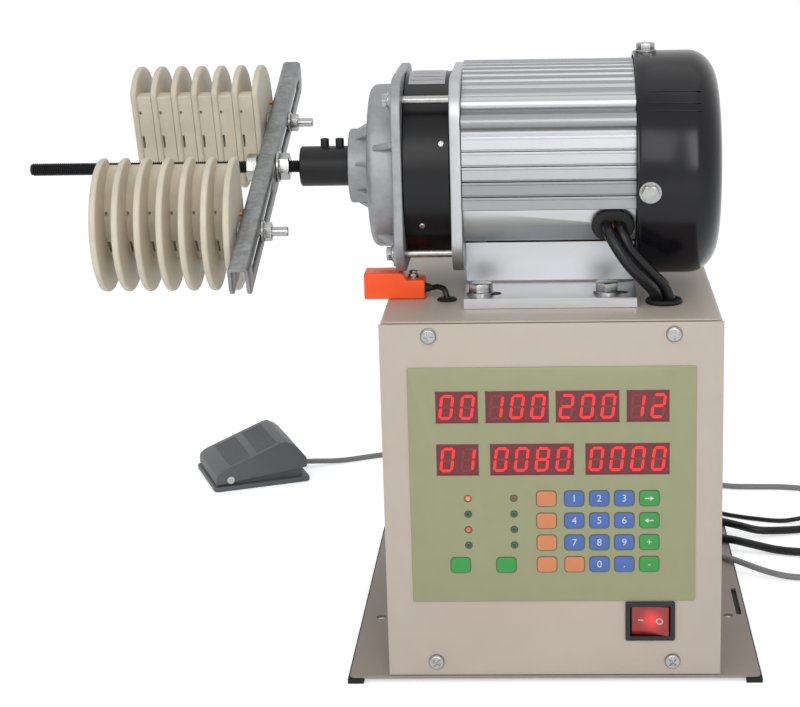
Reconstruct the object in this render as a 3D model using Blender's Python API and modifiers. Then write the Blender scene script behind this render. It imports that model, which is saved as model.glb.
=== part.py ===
# A coil winding machine: a sheet-steel control cabinet on a base plate, a geared motor on its
# top, and a spindle whose cross arm carries two sliding stacks of winding formers. A foot pedal
# and the cords lie beside it.
# Lengths are in metres. X runs to the right, Y to the back and Z up. The origin is the middle of
# the base plate's underside.
import math

import bmesh
import bpy
from mathutils import Matrix, Vector

# Clearances
GAP = 0.0003
OVERRUN = 0.002
HOLE_CLEARANCE = 0.0004
MERGE_DISTANCE = 0.000001

# Base plate and its feet
PLATE_WIDTH = 0.256
PLATE_DEPTH = 0.280
PLATE_THICKNESS = 0.002
PLATE_CORNER = 0.003
PLATE_SLOT_LENGTH = 0.048
PLATE_SLOT_WIDTH = 0.0035
PLATE_SLOT_INSET = 0.0045
PLATE_SLOT_FROM_FRONT = 0.120
PLATE_HOLE_RADIUS = 0.0035
PLATE_HOLE_INSET = 0.012
PLATE_HOLE_FROM_FRONT = 0.095
STRIP_WIDTH = 0.010
STRIP_HEIGHT = 0.0030
STRIP_PROUD = 0.0012
STRIP_SEAT = 0.0005

# Cabinet
BOX_WIDTH = 0.205
BOX_HEIGHT = 0.2275
BOX_DEPTH = 0.195
FRONT_SETBACK = 0.0005
SHEET = 0.0012
BEND_RADIUS = 0.003
FLANGE_WIDTH = 0.016
COVER_LIP = 0.012
PANEL_THICKNESS = 0.0015
PANEL_PROUD = 0.0005
PANEL_TOP_DROP = 0.0016
PANEL_SCREW_X = 0.0733
PANEL_SCREW_INSET = 0.009
PANEL_SCREW_RADIUS = 0.0024
PANEL_SCREW_LENGTH = 0.010
PANEL_SCREW_HEAD_RADIUS = 0.005
PANEL_SCREW_HEAD_HEIGHT = 0.0024
VENT_COUNT = 5
VENT_LENGTH = 0.070
VENT_HEIGHT = 0.004
VENT_PITCH = 0.010
VENT_FLOOR = 0.110

# Keypad overlay, its windows, keys and lamps, measured from the cabinet's foot
OVERLAY_WIDTH = 0.1735
OVERLAY_HEIGHT = 0.1498
OVERLAY_FLOOR = 0.0492
OVERLAY_THICKNESS = 0.0006
OVERLAY_CORNER = 0.001
DIGIT_PITCH = 0.01257
DISPLAY_HEIGHT = 0.0195
DISPLAY_DEPTH = 0.009
DISPLAY_UPPER = 0.1743
DISPLAY_LOWER = 0.1411
DISPLAYS_UPPER = ((-0.0572, 2), (-0.0208, 3), (0.0215, 3), (0.0578, 2))
DISPLAYS_LOWER = ((-0.0573, 2), (-0.0122, 4), (0.0455, 4))
LAMP_COLUMNS = (-0.0516, -0.0236)
LAMP_TOP = 0.1164
LAMP_PITCH = 0.01005
LAMP_ROWS = 4
LAMP_RADIUS = 0.0019
LAMP_PROUD = 0.0003
KEY_COLUMNS = (-0.0038, 0.0131, 0.0283, 0.0435, 0.0587)
KEY_TOP = 0.1160
KEY_PITCH = 0.01417
KEY_ROWS = 4
KEY_WIDTH = 0.0117
KEY_HEIGHT = 0.0096
KEY_PROUD = 0.0005
MODE_KEYS = ((-0.0568, 0.0733), (-0.0287, 0.0733))

# Control board behind the panel
BOARD_WIDTH = 0.160
BOARD_HEIGHT = 0.130
BOARD_FLOOR = 0.060
BOARD_THICKNESS = 0.0016
STUD_RADIUS = 0.0025
STUD_INSET = 0.004
CHIP_SIZES = ((0.040, 0.012, 0.004), (0.024, 0.010, 0.004), (0.014, 0.014, 0.012))
CHIP_PLACES = ((-0.020, 0.085), (0.035, 0.090), (0.050, 0.120))

# Power supply and motor driver on the plate
SUPPLY_SIZE = (0.070, 0.100, 0.040)
SUPPLY_X = 0.040
SUPPLY_FROM_BACK = 0.0218
DRIVER_SIZE = (0.060, 0.110, 0.012)
DRIVER_X = -0.045
DRIVER_FROM_BACK = 0.0268
FIN_COUNT = 7
FIN_HEIGHT = 0.022
FIN_THICKNESS = 0.0015

# Rocker switch
SWITCH_X = 0.0594
SWITCH_Z = 0.0360
BEZEL_WIDTH = 0.0305
BEZEL_HEIGHT = 0.0255
BEZEL_PROUD = 0.002
SWITCH_BODY_WIDTH = 0.0270
SWITCH_BODY_HEIGHT = 0.0216
SWITCH_BODY_DEPTH = 0.0240
SWITCH_WALL = 0.0011
ROCKER_HALF = 0.0115
ROCKER_HEIGHT = 0.0188
ROCKER_DEPTH = 0.0030
ROCKER_BULGE = 0.0060
ROCKER_DISH = 0.0008
ROCKER_TILT = math.radians(11)
ROCKER_PIVOT_DEPTH = 0.0006
TERMINAL_LENGTH = 0.008
TERMINAL_WIDTH = 0.006
TERMINAL_THICKNESS = 0.0008

# Motor: its axis, and the ends of its sections along X
AXIS_SETBACK = 0.100
AXIS_HEIGHT = 0.078
COUPLING_LEFT = -0.158
COUPLING_RIGHT = -0.1268
HUB_LEFT = -0.1263
DOME_LEFT = -0.1160
DOME_RIGHT = -0.0993
HOUSING_RIGHT = -0.0925
CASING_RIGHT = -0.0603
BODY_LEFT = -0.0530
BODY_RIGHT = 0.0525
CAP_RIGHT = 0.1050

# Aluminium body
BODY_TOP = 0.0655
BODY_FRONT = 0.0605
BODY_BORE = 0.0520
LAND_TOP = 0.0275
LAND_FOOT = -0.0190
LAND_COUNT = 5
GROOVE_WIDTH = 0.0012
GROOVE_DEPTH = 0.0022
ROLL_CENTRES = ((0.0565, 0.0345), (0.0480, 0.0440))
ROLL_RADIUS = 0.0052
ROLL_STEPS = 4
ROLL_SWEEP = math.radians(85)
RIB_COUNT = 7
RIB_DEPTH = 0.0032
RIB_END_SHARE = 0.45
RIB_FOOT_SHARE = 0.55
RIB_NEXT_SHARE = 0.9
TOP_EDGE = (0.0420, 0.0530)
RECESS_FRONT = 0.0530
RECESS_FOOT = -0.0400
PEDESTAL_HALF = 0.0240
PEDESTAL_WALL = 0.0050
PEDESTAL_ROOF = -0.0580
FOOT_HALF = 0.0700
FOOT_FLANGE = 0.0060
BOLT_X = (-0.0430, 0.0345)
BOLT_INSET = 0.0150
FOOT_BOLT_RADIUS = 0.0040
FOOT_BOLT_FLATS = 0.0130
FOOT_BOLT_HEAD = 0.0053
FOOT_WASHER_RADIUS = 0.0085
FOOT_WASHER = 0.0016
FOOT_BOLT_LENGTH = 0.016
FOOT_NUT = 0.0065

# Flanges, casings and tie bolts
FLANGE_HALF = 0.0605
FLANGE_CORNER = 0.0240
CASING_RADIUS = 0.0590
CASING_WALL = 0.0050
CASING_FLOOR = 0.0040
DOME_RADIUS = 0.0510
DOME_SHOULDER = 0.0300
DOME_WALL = 0.0040
HUB_RADIUS = 0.0235
TIE_SPREAD = 0.0475
TIE_RADIUS = 0.0025
TIE_FLATS = 0.0080
TIE_HEAD = 0.0035
MID_BORE = 0.0100

# Rear cap
CAP_RADIUS = 0.0700
CAP_WALL = 0.0025
CAP_SHOULDER = 0.0180
CAP_FACE_RADIUS = 0.0480
CAP_BOSS_LENGTH = 0.0120
CAP_SCREW_SETBACK = 0.0080
CAP_SCREW_HEAD = 0.0055
CAP_SCREW_HEAD_HEIGHT = 0.0055
CAP_SCREW_ANGLES = (90, 186, 354)

# Inside the motor
STATOR_LEFT = -0.0400
STATOR_RIGHT = 0.0380
STATOR_BORE = 0.0340
STATOR_WINDING = 0.0080
STATOR_WINDING_RADIUS = 0.0470
STATOR_TURN = math.radians(23)
AIR_GAP = 0.0006
SHAFT_RADIUS = 0.0075
PINION_SHAFT_RADIUS = 0.0060
BEARING_OUTER = 0.0160
BEARING_WIDTH = 0.0060
OUTPUT_BEARING_OUTER = 0.0185
OUTPUT_BEARING_WIDTH = 0.0080
OUTPUT_SHAFT_RADIUS = 0.0085
OUTPUT_SHAFT_LENGTH = 0.0120

# Planetary gears
GEAR_MODULE = 0.0020
SUN_TEETH = 15
PLANET_TEETH = 15
RING_TEETH = 45
PLANET_COUNT = 3
ADDENDUM_SHARE = 0.80
DEDENDUM_SHARE = 1.10
TOOTH_TIP_SHARE = 0.20
TOOTH_ROOT_SHARE = 0.56
GEAR_LEFT = -0.0870
GEAR_RIGHT = -0.0720
CARRIER_RADIUS = 0.0400
CARRIER_LEFT = -0.0960
CARRIER_RIGHT = -0.0885
PLANET_PIN_RADIUS = 0.0045

# Spindle: coupling, rod and cross arm
COUPLING_RADIUS = 0.0127
COUPLING_SCREW_X = (-0.1425, -0.1330)
COUPLING_SCREW_RADIUS = 0.0027
COUPLING_SCREW_PROUD = 0.0050
ROD_LEFT = -0.3320
ROD_RADIUS = 0.0041
ROD_IN_COUPLING = 0.0120
ARM_LEFT = -0.1856
ARM_RIGHT = -0.1734
ARM_HALF = 0.1425
ARM_TOP = 0.0080
ARM_FOOT = 0.0120
ARM_WALL = 0.0020
ARM_TILT = math.radians(18)
ARM_END_RADIUS = 0.0080
SLOT_NEAR = 0.0220
SLOT_FAR = 0.1280
SLOT_HALF = 0.0036
SLOT_DROP = 0.0015
ARM_NUT_FLATS = 0.0150
ARM_NUT_HEIGHT = 0.0065
ARM_WASHER_RADIUS = 0.0098
ARM_WASHER = 0.0015

# Winding formers
FORMER_COUNT = 7
FORMER_PITCH = 0.0132
FLANGE_PLATE = 0.0040
FLANGE_RADIUS = 0.0405
FLANGE_FLAT = 0.0205
CORE_RADIUS = 0.0330
CORE_FLAT = 0.0190
CORE_STEPS = 9
FORMER_STANDOFF = 0.0022
FRONT_CENTRE = -0.0740
REAR_CENTRE = 0.0580
BOLT_OUTWARD = 0.0080
FORMER_BOLT_RADIUS = 0.0030
FORMER_BOLT_FLATS = 0.0100
FORMER_BOLT_HEAD = 0.0045
FORMER_NUT = 0.0055
FORMER_WASHER_RADIUS = 0.0070
FORMER_WASHER = 0.0012
BOLT_TAIL = 0.0090
PIN_RADIUS = 0.0016
FRONT_PIN_OUTWARD = -0.0030
REAR_PIN_OUTWARD = 0.0260
PIN_RISE = 0.0050

# Sensor, its screw and cable
SENSOR_LEFT = -0.1165
SENSOR_STEP = -0.0915
SENSOR_RIGHT = -0.0785
SENSOR_FROM_FRONT = 0.0575
SENSOR_DEPTH = 0.0180
SENSOR_HEIGHT = 0.0166
SENSOR_LOW_HEIGHT = 0.0120
SENSOR_SCREW_RADIUS = 0.0016
SENSOR_HEAD_RADIUS = 0.0030
SENSOR_HEAD_HEIGHT = 0.0028
SENSOR_WASHER_RADIUS = 0.0040
SENSOR_WASHER = 0.0008
SENSOR_SCREW_X = -0.0860
SENSOR_CABLE_RADIUS = 0.0018
SENSOR_HOLE = (-0.0645, 0.0545)
SENSOR_HOLE_RADIUS = 0.0045

# Motor cables
MOTOR_CABLE_RADIUS = 0.0037
MOTOR_CABLE_EXIT = 0.0385
MOTOR_CABLE_EXIT_DROP = 0.0300
MOTOR_HOLE = (0.0695, 0.0427)
MOTOR_HOLE_RADIUS = 0.0083
MOTOR_GROMMET_RADIUS = 0.0100

# Foot pedal, in its own frame: length along its axis, width across, height above the floor
PEDAL_CORNER = (-0.2743, 0.2256)
PEDAL_TURN = math.radians(21.5)
PEDAL_LENGTH = 0.080
PEDAL_WIDTH = 0.072
PEDAL_BASE = 0.004
PEDAL_UPSTAND = 0.0105
PEDAL_UPSTAND_INSET = 0.0055
PEDAL_WALL = 0.0020
PEDAL_EDGE = 0.004
COVER_INSET = 0.0022
COVER_FOOT = 0.0052
COVER_LOW = 0.0140
COVER_HIGH = 0.0355
COVER_NOSE = 0.0060
COVER_EASE = 0.0010
COVER_CREST = 0.0620
COVER_BACK = 0.0150
COVER_HEEL = 0.0130
PEDAL_PIN_ALONG = 0.0140
PEDAL_PIN_HEIGHT = 0.0086
PEDAL_PIN_RADIUS = 0.0022
PEDAL_PIN_HEAD = 0.0032
PEDAL_PIN_HEAD_LENGTH = 0.0008
PEDAL_TRAVEL = math.radians(5)
SPRING_ALONG = 0.0600
SPRING_RADIUS = 0.0045
SPRING_WIRE = 0.0006
SPRING_TURNS = 3
SPRING_STEPS = 8
MICRO_SIZE = (0.0200, 0.0065, 0.0100)
MICRO_ALONG = 0.0400
PRESSER_WIDTH = 0.0040
PEDAL_GLAND_RADIUS = 0.0038
PEDAL_GLAND_LENGTH = 0.0070

# Cords, their glands and ends
CORD_STEP_DIAMETERS = 3
MAINS_STEP_DIAMETERS = 2.5
PEDAL_CORD_RADIUS = 0.00225
MAINS_CORD_RADIUS = 0.0030
LEAD_RADIUS = 0.00175
GLAND_LENGTH = 0.0140
GLAND_RADIUS = 0.0070
GLAND_NOSE_RADIUS = 0.0045
GLAND_INSIDE = 0.0060
GLAND_HEIGHT = 0.0270
GLAND_PLACES = (0.0000, 0.0350, 0.0700)
COIL_CENTRE = (0.0300, 0.2250)
COIL_OUTER = 0.0403
COIL_INNER = 0.0267
COIL_CLEARANCE = 0.0006
COIL_TURNS_PER_LAYER = 2
COIL_STEPS = 24
COIL_TAIL = 0.0620
COIL_TAIL_STEPS = 8
PLUG_LENGTH = 0.0380
PLUG_WIDTH = 0.0200
PLUG_HEIGHT = 0.0140
PLUG_TAPER_SHARE = 0.55
PLUG_BLADE_LENGTH = 0.0160
PLUG_BLADE_WIDTH = 0.0062
PLUG_BLADE_THICKNESS = 0.0015
PLUG_BLADE_SPACING = 0.0127
CONNECTOR_LENGTH = 0.0260
CONNECTOR_RADIUS = 0.0055
CONNECTOR_GRIP_RADIUS = 0.0048
CONNECTOR_COLLAR = 0.0060
CONNECTOR_NECK_RADIUS = 0.0023

# Facets
ROUND_LARGE = 24
ROUND_MEDIUM = 12
ROUND_SMALL = 8
ROUND_SIX = 6

# Worked out from the sizes above
plateTop = PLATE_THICKNESS
floorZ = STRIP_SEAT - GAP - STRIP_HEIGHT
frontY = -PLATE_DEPTH / 2 + FRONT_SETBACK
coverFrontY = frontY + PANEL_THICKNESS + GAP
coverBackY = coverFrontY + BOX_DEPTH
rearY = coverBackY + GAP + PANEL_THICKNESS
boxFoot = plateTop + GAP
boxTop = boxFoot + BOX_HEIGHT
axisY = frontY + AXIS_SETBACK
axisZ = boxTop + AXIS_HEIGHT
axisPoint = Vector((0, axisY, axisZ))
armSlotCentre = -SLOT_DROP
overlayFrontY = frontY - GAP - OVERLAY_THICKNESS
boardNear = overlayFrontY + GAP + DISPLAY_DEPTH
lastFlangeRight = ARM_LEFT - FORMER_STANDOFF
stackLength = FORMER_PITCH * (FORMER_COUNT - 1) + FLANGE_PLATE
stackLeft = lastFlangeRight - stackLength
shaftBearingRight = CAP_RIGHT - CAP_WALL - GAP
pedalAlong = Vector((math.cos(PEDAL_TURN), math.sin(PEDAL_TURN), 0))
pedalAcross = Vector((-math.sin(PEDAL_TURN), math.cos(PEDAL_TURN), 0))
glandTipY = rearY + GLAND_LENGTH

addendum = ADDENDUM_SHARE * GEAR_MODULE
dedendum = DEDENDUM_SHARE * GEAR_MODULE
ringRim = CASING_RADIUS - CASING_WALL - GAP

partsCollection = None


# Shared tools

def clearScene():
    for obj in list(bpy.data.objects):
        bpy.data.objects.remove(obj, do_unlink=True)
    for collection in list(bpy.data.collections):
        bpy.data.collections.remove(collection)


def makeMaterial(name, colour, roughness, metallic=0.0):
    material = bpy.data.materials.new(name)
    material.use_nodes = True
    shader = material.node_tree.nodes["Principled BSDF"]
    shader.inputs["Base Color"].default_value = (*colour, 1.0)
    shader.inputs["Roughness"].default_value = roughness
    shader.inputs["Metallic"].default_value = metallic
    return material


def bakedMesh(obj):
    """Returns the object's mesh as it is seen, welded, in world places, and removes the object."""
    bpy.context.view_layer.update()
    seen = obj.evaluated_get(bpy.context.evaluated_depsgraph_get())
    mesh = bpy.data.meshes.new_from_object(seen)
    mesh.transform(obj.matrix_world)
    bm = bmesh.new()
    bm.from_mesh(mesh)
    bmesh.ops.remove_doubles(bm, verts=bm.verts, dist=MERGE_DISTANCE)
    bmesh.ops.recalc_face_normals(bm, faces=bm.faces)
    bm.to_mesh(mesh)
    bm.free()
    bpy.data.objects.remove(obj, do_unlink=True)
    return mesh


def tempObject(data, place=None):
    obj = bpy.data.objects.new("shape", data)
    bpy.context.scene.collection.objects.link(obj)
    if place is not None:
        obj.matrix_world = place
    return obj


def axesAlongX(x, y=0, z=0, tilt=0):
    """A place whose own x, y and z run along Y, Z and X, turned about X by the tilt."""
    turn = Matrix(((0, 0, 1), (1, 0, 0), (0, 1, 0))).to_4x4()
    return Matrix.Translation((x, y, z)) @ Matrix.Rotation(tilt, 4, "X") @ turn


def axesAlongY(x, y, z):
    """A place whose own x, y and z run along X, Z and towards the front."""
    turn = Matrix(((1, 0, 0), (0, 0, -1), (0, 1, 0))).to_4x4()
    return Matrix.Translation((x, y, z)) @ turn


def axesUp(x, y, z):
    return Matrix.Translation((x, y, z))


def axesFromZ(point, direction):
    """A place whose own z runs along the direction."""
    turn = Vector(direction).to_track_quat("Z", "Y").to_matrix().to_4x4()
    return Matrix.Translation(point) @ turn


def flat(loops, thickness, place):
    """An outline with its holes, given its thickness on both sides of the place."""
    curve = bpy.data.curves.new("outline", "CURVE")
    curve.dimensions = "2D"
    curve.fill_mode = "BOTH"
    curve.extrude = thickness / 2
    for loop in loops:
        spline = curve.splines.new("POLY")
        spline.points.add(len(loop) - 1)
        for point, (x, y) in zip(spline.points, loop):
            point.co = (x, y, 0, 1)
        spline.use_cyclic_u = True
    return bakedMesh(tempObject(curve, place))


def slabX(loops, left, right, y=0, z=0, tilt=0):
    return flat(loops, right - left, axesAlongX((left + right) / 2, y, z, tilt))


def slabY(loops, near, far, x=0, z=0):
    return flat(loops, far - near, axesAlongY(x, (near + far) / 2, z))


def slabZ(loops, low, high, x=0, y=0):
    return flat(loops, high - low, axesUp(x, y, (low + high) / 2))


def block(size, place, edge=0):
    bpy.ops.mesh.primitive_cube_add(size=1)
    obj = bpy.context.active_object
    obj.data.transform(Matrix.Diagonal((*size, 1)))
    obj.matrix_world = place
    if edge:
        bevel = obj.modifiers.new("edges", "BEVEL")
        bevel.width = edge
        bevel.segments = 1
    return bakedMesh(obj)


def rod(radius, length, place, sides):
    """A cylinder along the place's own z, centred on it."""
    bm = bmesh.new()
    bmesh.ops.create_cone(bm, cap_ends=True, segments=sides, radius1=radius, radius2=radius, depth=length)
    mesh = bpy.data.meshes.new("rod")
    bm.to_mesh(mesh)
    bm.free()
    return bakedMesh(tempObject(mesh, place))


def rodX(radius, left, right, y, z, sides):
    return rod(radius, right - left, axesAlongX((left + right) / 2, y, z), sides)


def turned(profile, place, steps, ring=False):
    """A profile of (radius, height) points turned about the place's own z."""
    mesh = bpy.data.meshes.new("profile")
    edges = [(i, i + 1) for i in range(len(profile) - 1)]
    if ring:
        edges.append((len(profile) - 1, 0))
    mesh.from_pydata([(radius, 0, height) for radius, height in profile], edges, [])
    obj = tempObject(mesh, place)
    screw = obj.modifiers.new("turn", "SCREW")
    screw.steps = steps
    screw.render_steps = steps
    screw.use_merge_vertices = True
    screw.merge_threshold = MERGE_DISTANCE
    return bakedMesh(obj)


def turnedX(profile, steps, ring=False, y=axisY, z=axisZ):
    """A profile of (x, radius) points turned about a line along X."""
    return turned([(radius, x) for x, radius in profile], axesAlongX(0, y, z), steps, ring)


def tube(points, radius, resolution):
    curve = bpy.data.curves.new("tube", "CURVE")
    curve.dimensions = "3D"
    curve.bevel_depth = radius
    curve.bevel_resolution = resolution
    curve.use_fill_caps = True
    spline = curve.splines.new("POLY")
    spline.points.add(len(points) - 1)
    for point, co in zip(spline.points, points):
        point.co = (*co, 1)
    return bakedMesh(tempObject(curve))


def combined(mesh, others, operation):
    """A Boolean of one mesh with others, one after the other, by the exact solver."""
    for other in others:
        obj = tempObject(mesh)
        tool = tempObject(other)
        step = obj.modifiers.new("boolean", "BOOLEAN")
        step.operation = operation
        step.solver = "EXACT"
        step.object = tool
        mesh = bakedMesh(obj)
        bpy.data.objects.remove(tool, do_unlink=True)
    return mesh


def joined(base, *others):
    return combined(base, others, "UNION")


def cutBy(base, *others):
    return combined(base, others, "DIFFERENCE")


def addPart(name, mesh, material, origin=(0, 0, 0)):
    """One named object, with its origin where it is asked for."""
    mesh.name = name
    mesh.transform(Matrix.Translation(-Vector(origin)))
    mesh.materials.append(material)
    mesh.shade_smooth()
    mesh.set_sharp_from_angle(angle=math.radians(30))
    obj = bpy.data.objects.new(name, mesh)
    obj.location = origin
    partsCollection.objects.link(obj)
    return obj


# Outlines

def rectLoop(width, height, x=0, y=0):
    return [(x - width / 2, y - height / 2), (x + width / 2, y - height / 2),
            (x + width / 2, y + height / 2), (x - width / 2, y + height / 2)]


def roundLoop(radius, sides, x=0, y=0, start=0):
    return [(x + radius * math.cos(start + 2 * math.pi * i / sides),
             y + radius * math.sin(start + 2 * math.pi * i / sides)) for i in range(sides)]


def roundedLoop(width, height, corner, steps=2, x=0, y=0):
    """A rectangle whose corners are arcs of a few steps."""
    points = []
    for quarter, (sx, sy) in enumerate(((1, 1), (-1, 1), (-1, -1), (1, -1))):
        cx = x + sx * (width / 2 - corner)
        cy = y + sy * (height / 2 - corner)
        for step in range(steps + 1):
            angle = math.pi / 2 * (quarter + step / steps)
            points.append((cx + corner * math.cos(angle), cy + corner * math.sin(angle)))
    return points


def slotLoop(length, width, x=0, y=0, steps=2):
    """A slot along the outline's own x, with round ends."""
    points = []
    for end in (1, -1):
        for step in range(steps + 1):
            angle = math.pi * (step / steps - 1 / 2) + (0 if end > 0 else math.pi)
            points.append((x + end * (length - width) / 2 + width / 2 * math.cos(angle),
                           y + width / 2 * math.sin(angle)))
    return points


def hexLoop(flats, x=0, y=0, start=0):
    return roundLoop(flats / math.sqrt(3), 6, x, y, start)


def segmentLoop(radius, flatAt, centre, side, steps=12):
    """A disc cut by a flat. The flat faces the shaft, and the arc faces out to the arm's end."""
    half = math.pi - math.acos(flatAt / radius)
    points = []
    for step in range(steps + 1):
        angle = half * (2 * step / steps - 1)
        points.append((centre + side * radius * math.cos(angle), radius * math.sin(angle)))
    return points


def gearLoop(teeth, addendum, dedendum, start, inner=False):
    """A gear's outline. An inner gear's teeth point to the middle."""
    pitch = GEAR_MODULE * teeth / 2
    out = -1 if inner else 1
    tip = pitch + out * addendum
    root = pitch - out * dedendum
    points = []
    for tooth in range(teeth):
        middle = start + 2 * math.pi * tooth / teeth
        rootHalf = math.pi * TOOTH_ROOT_SHARE / teeth
        tipHalf = math.pi * TOOTH_TIP_SHARE / teeth
        for radius, angle in ((root, -rootHalf), (tip, -tipHalf), (tip, tipHalf), (root, rootHalf)):
            points.append((radius * math.cos(middle + angle), radius * math.sin(middle + angle)))
    return points


# Fasteners

def hexBolt(flats, head, radius, length, place):
    """A hexagon bolt whose head stands on the place and whose shank runs down from it."""
    headShape = flat([hexLoop(flats)], head, place @ axesUp(0, 0, head / 2))
    shank = rod(radius, length + head / 2, place @ axesUp(0, 0, (head / 2 - length) / 2), ROUND_SIX)
    return joined(headShape, shank)


def ringSolid(inner, outer, thickness, place, sides=ROUND_SMALL):
    loops = [roundLoop(outer, sides), roundLoop(inner, sides)]
    return flat(loops, thickness, place @ axesUp(0, 0, thickness / 2))


def panScrew(headRadius, headHeight, radius, length, place):
    """A domed screw whose head stands on the place and whose shank runs down from it."""
    profile = [(0, headHeight), (headRadius * 2 / 3, headHeight), (headRadius, 0), (radius, 0),
               (radius, -length), (0, -length)]
    return turned(profile, place, ROUND_SMALL)


# Base plate and cabinet

def makeBase(steel, rubber):
    edge = PLATE_WIDTH / 2
    near = -PLATE_DEPTH / 2
    slot = [(y, x) for x, y in slotLoop(PLATE_SLOT_LENGTH, PLATE_SLOT_WIDTH)]
    slot = [(x + edge - PLATE_SLOT_INSET, y + near + PLATE_SLOT_FROM_FRONT) for x, y in slot]
    holes = [roundLoop(PLATE_HOLE_RADIUS, ROUND_SMALL, side * (edge - PLATE_HOLE_INSET),
                       near + PLATE_HOLE_FROM_FRONT) for side in (-1, 1)]
    loops = [roundedLoop(PLATE_WIDTH, PLATE_DEPTH, PLATE_CORNER), slot, *holes]
    plate = slabZ(loops, 0, PLATE_THICKNESS)

    # Each strip sits in a shallow rebate along the plate's edge, so the plate's own foot lies free.
    length = PLATE_DEPTH + 2 * STRIP_PROUD
    for name, side in (("left_foot_strip", -1), ("right_foot_strip", 1)):
        x = side * (edge + STRIP_PROUD - STRIP_WIDTH / 2)
        seat = block((STRIP_WIDTH + 2 * GAP, length + OVERRUN, 2 * STRIP_SEAT), axesUp(x, 0, 0))
        plate = cutBy(plate, seat)
        strip = block((STRIP_WIDTH, length, STRIP_HEIGHT), axesUp(x, 0, floorZ + STRIP_HEIGHT / 2))
        addPart(name, strip, rubber)
    addPart("base_plate", plate, steel)


def coverLoop():
    """The cover's section: two sides, the top with round bends, and a lip at each foot."""
    half = BOX_WIDTH / 2
    right = [(half, 0)]
    for step in range(4):
        angle = math.pi / 2 * step / 3
        right.append((half - BEND_RADIUS + BEND_RADIUS * math.cos(angle),
                      BOX_HEIGHT - BEND_RADIUS + BEND_RADIUS * math.sin(angle)))
    inside = [(half - COVER_LIP, 0), (half - COVER_LIP, SHEET), (half - SHEET, SHEET),
              (half - SHEET, BOX_HEIGHT - BEND_RADIUS), (half - BEND_RADIUS, BOX_HEIGHT - SHEET)]
    outer = right + [(-x, y) for x, y in reversed(right)]
    inner = [(-x, y) for x, y in inside] + list(reversed(inside))
    return outer + inner


def panelScrewPlaces():
    return [(side * PANEL_SCREW_X, z) for side in (-1, 1)
            for z in (boxFoot + PANEL_SCREW_INSET, boxTop - PANEL_SCREW_INSET)]


def footBoltPlaces():
    reach = FOOT_HALF - BOLT_INSET
    return [(x, axisY + side * reach) for x in BOLT_X for side in (-1, 1)]


def makeCover(paint):
    shell = slabY([coverLoop()], coverFrontY, coverBackY, 0, boxFoot)
    frameWidth = BOX_WIDTH - SHEET
    frameHeight = BOX_HEIGHT - SHEET
    middle = boxFoot + BOX_HEIGHT / 2
    frame = [roundedLoop(frameWidth, frameHeight, BEND_RADIUS),
             rectLoop(frameWidth - 2 * FLANGE_WIDTH, frameHeight - 2 * FLANGE_WIDTH)]
    frame += [roundLoop(PANEL_SCREW_RADIUS + HOLE_CLEARANCE, ROUND_SMALL, x, z - middle)
              for x, z in panelScrewPlaces()]
    front = slabY(frame, coverFrontY + GAP, coverFrontY + GAP + SHEET, 0, middle)
    back = slabY(frame, coverBackY - GAP - SHEET, coverBackY - GAP, 0, middle)
    lipDepth = coverFrontY + 2 * SHEET - frontY
    lip = block((BOX_WIDTH - 2 * BEND_RADIUS - 2 * GAP, lipDepth, SHEET - GAP),
                axesUp(0, frontY + lipDepth / 2, boxTop - SHEET / 2))
    cover = joined(shell, front, back, lip)
    holes = [(x, y, FOOT_BOLT_RADIUS) for x, y in footBoltPlaces()]
    holes.append((MOTOR_HOLE[0], frontY + MOTOR_HOLE[1], MOTOR_HOLE_RADIUS))
    holes.append((SENSOR_HOLE[0], frontY + SENSOR_HOLE[1], SENSOR_HOLE_RADIUS))
    sensorY = frontY + SENSOR_FROM_FRONT + SENSOR_DEPTH / 2
    holes.append((SENSOR_SCREW_X, sensorY, SENSOR_SCREW_RADIUS))
    cutters = [rod((radius + HOLE_CLEARANCE) / math.cos(math.pi / ROUND_SIX), 2 * OVERRUN,
                   axesUp(x, y, boxTop), ROUND_SIX)
               for x, y, radius in holes]
    addPart("cabinet_cover", cutBy(cover, *cutters), paint)


def displayPlaces():
    rows = [(DISPLAY_UPPER, DISPLAYS_UPPER), (DISPLAY_LOWER, DISPLAYS_LOWER)]
    return [(x, boxFoot + height, digits * DIGIT_PITCH) for height, row in rows for x, digits in row]


def lampPlaces():
    return [(x, boxFoot + LAMP_TOP - row * LAMP_PITCH) for x in LAMP_COLUMNS for row in range(LAMP_ROWS)]


def keyPlaces():
    keys = [(x, boxFoot + KEY_TOP - row * KEY_PITCH) for x in KEY_COLUMNS for row in range(KEY_ROWS)]
    return keys + [(x, boxFoot + height) for x, height in MODE_KEYS]


def windowLoops(middle, clearance):
    loops = [rectLoop(width + 2 * clearance, DISPLAY_HEIGHT + 2 * clearance, x, z - middle)
             for x, z, width in displayPlaces()]
    return loops + [roundLoop(LAMP_RADIUS + clearance, ROUND_SIX, x, z - middle, math.pi / 2)
                    for x, z in lampPlaces()]


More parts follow.
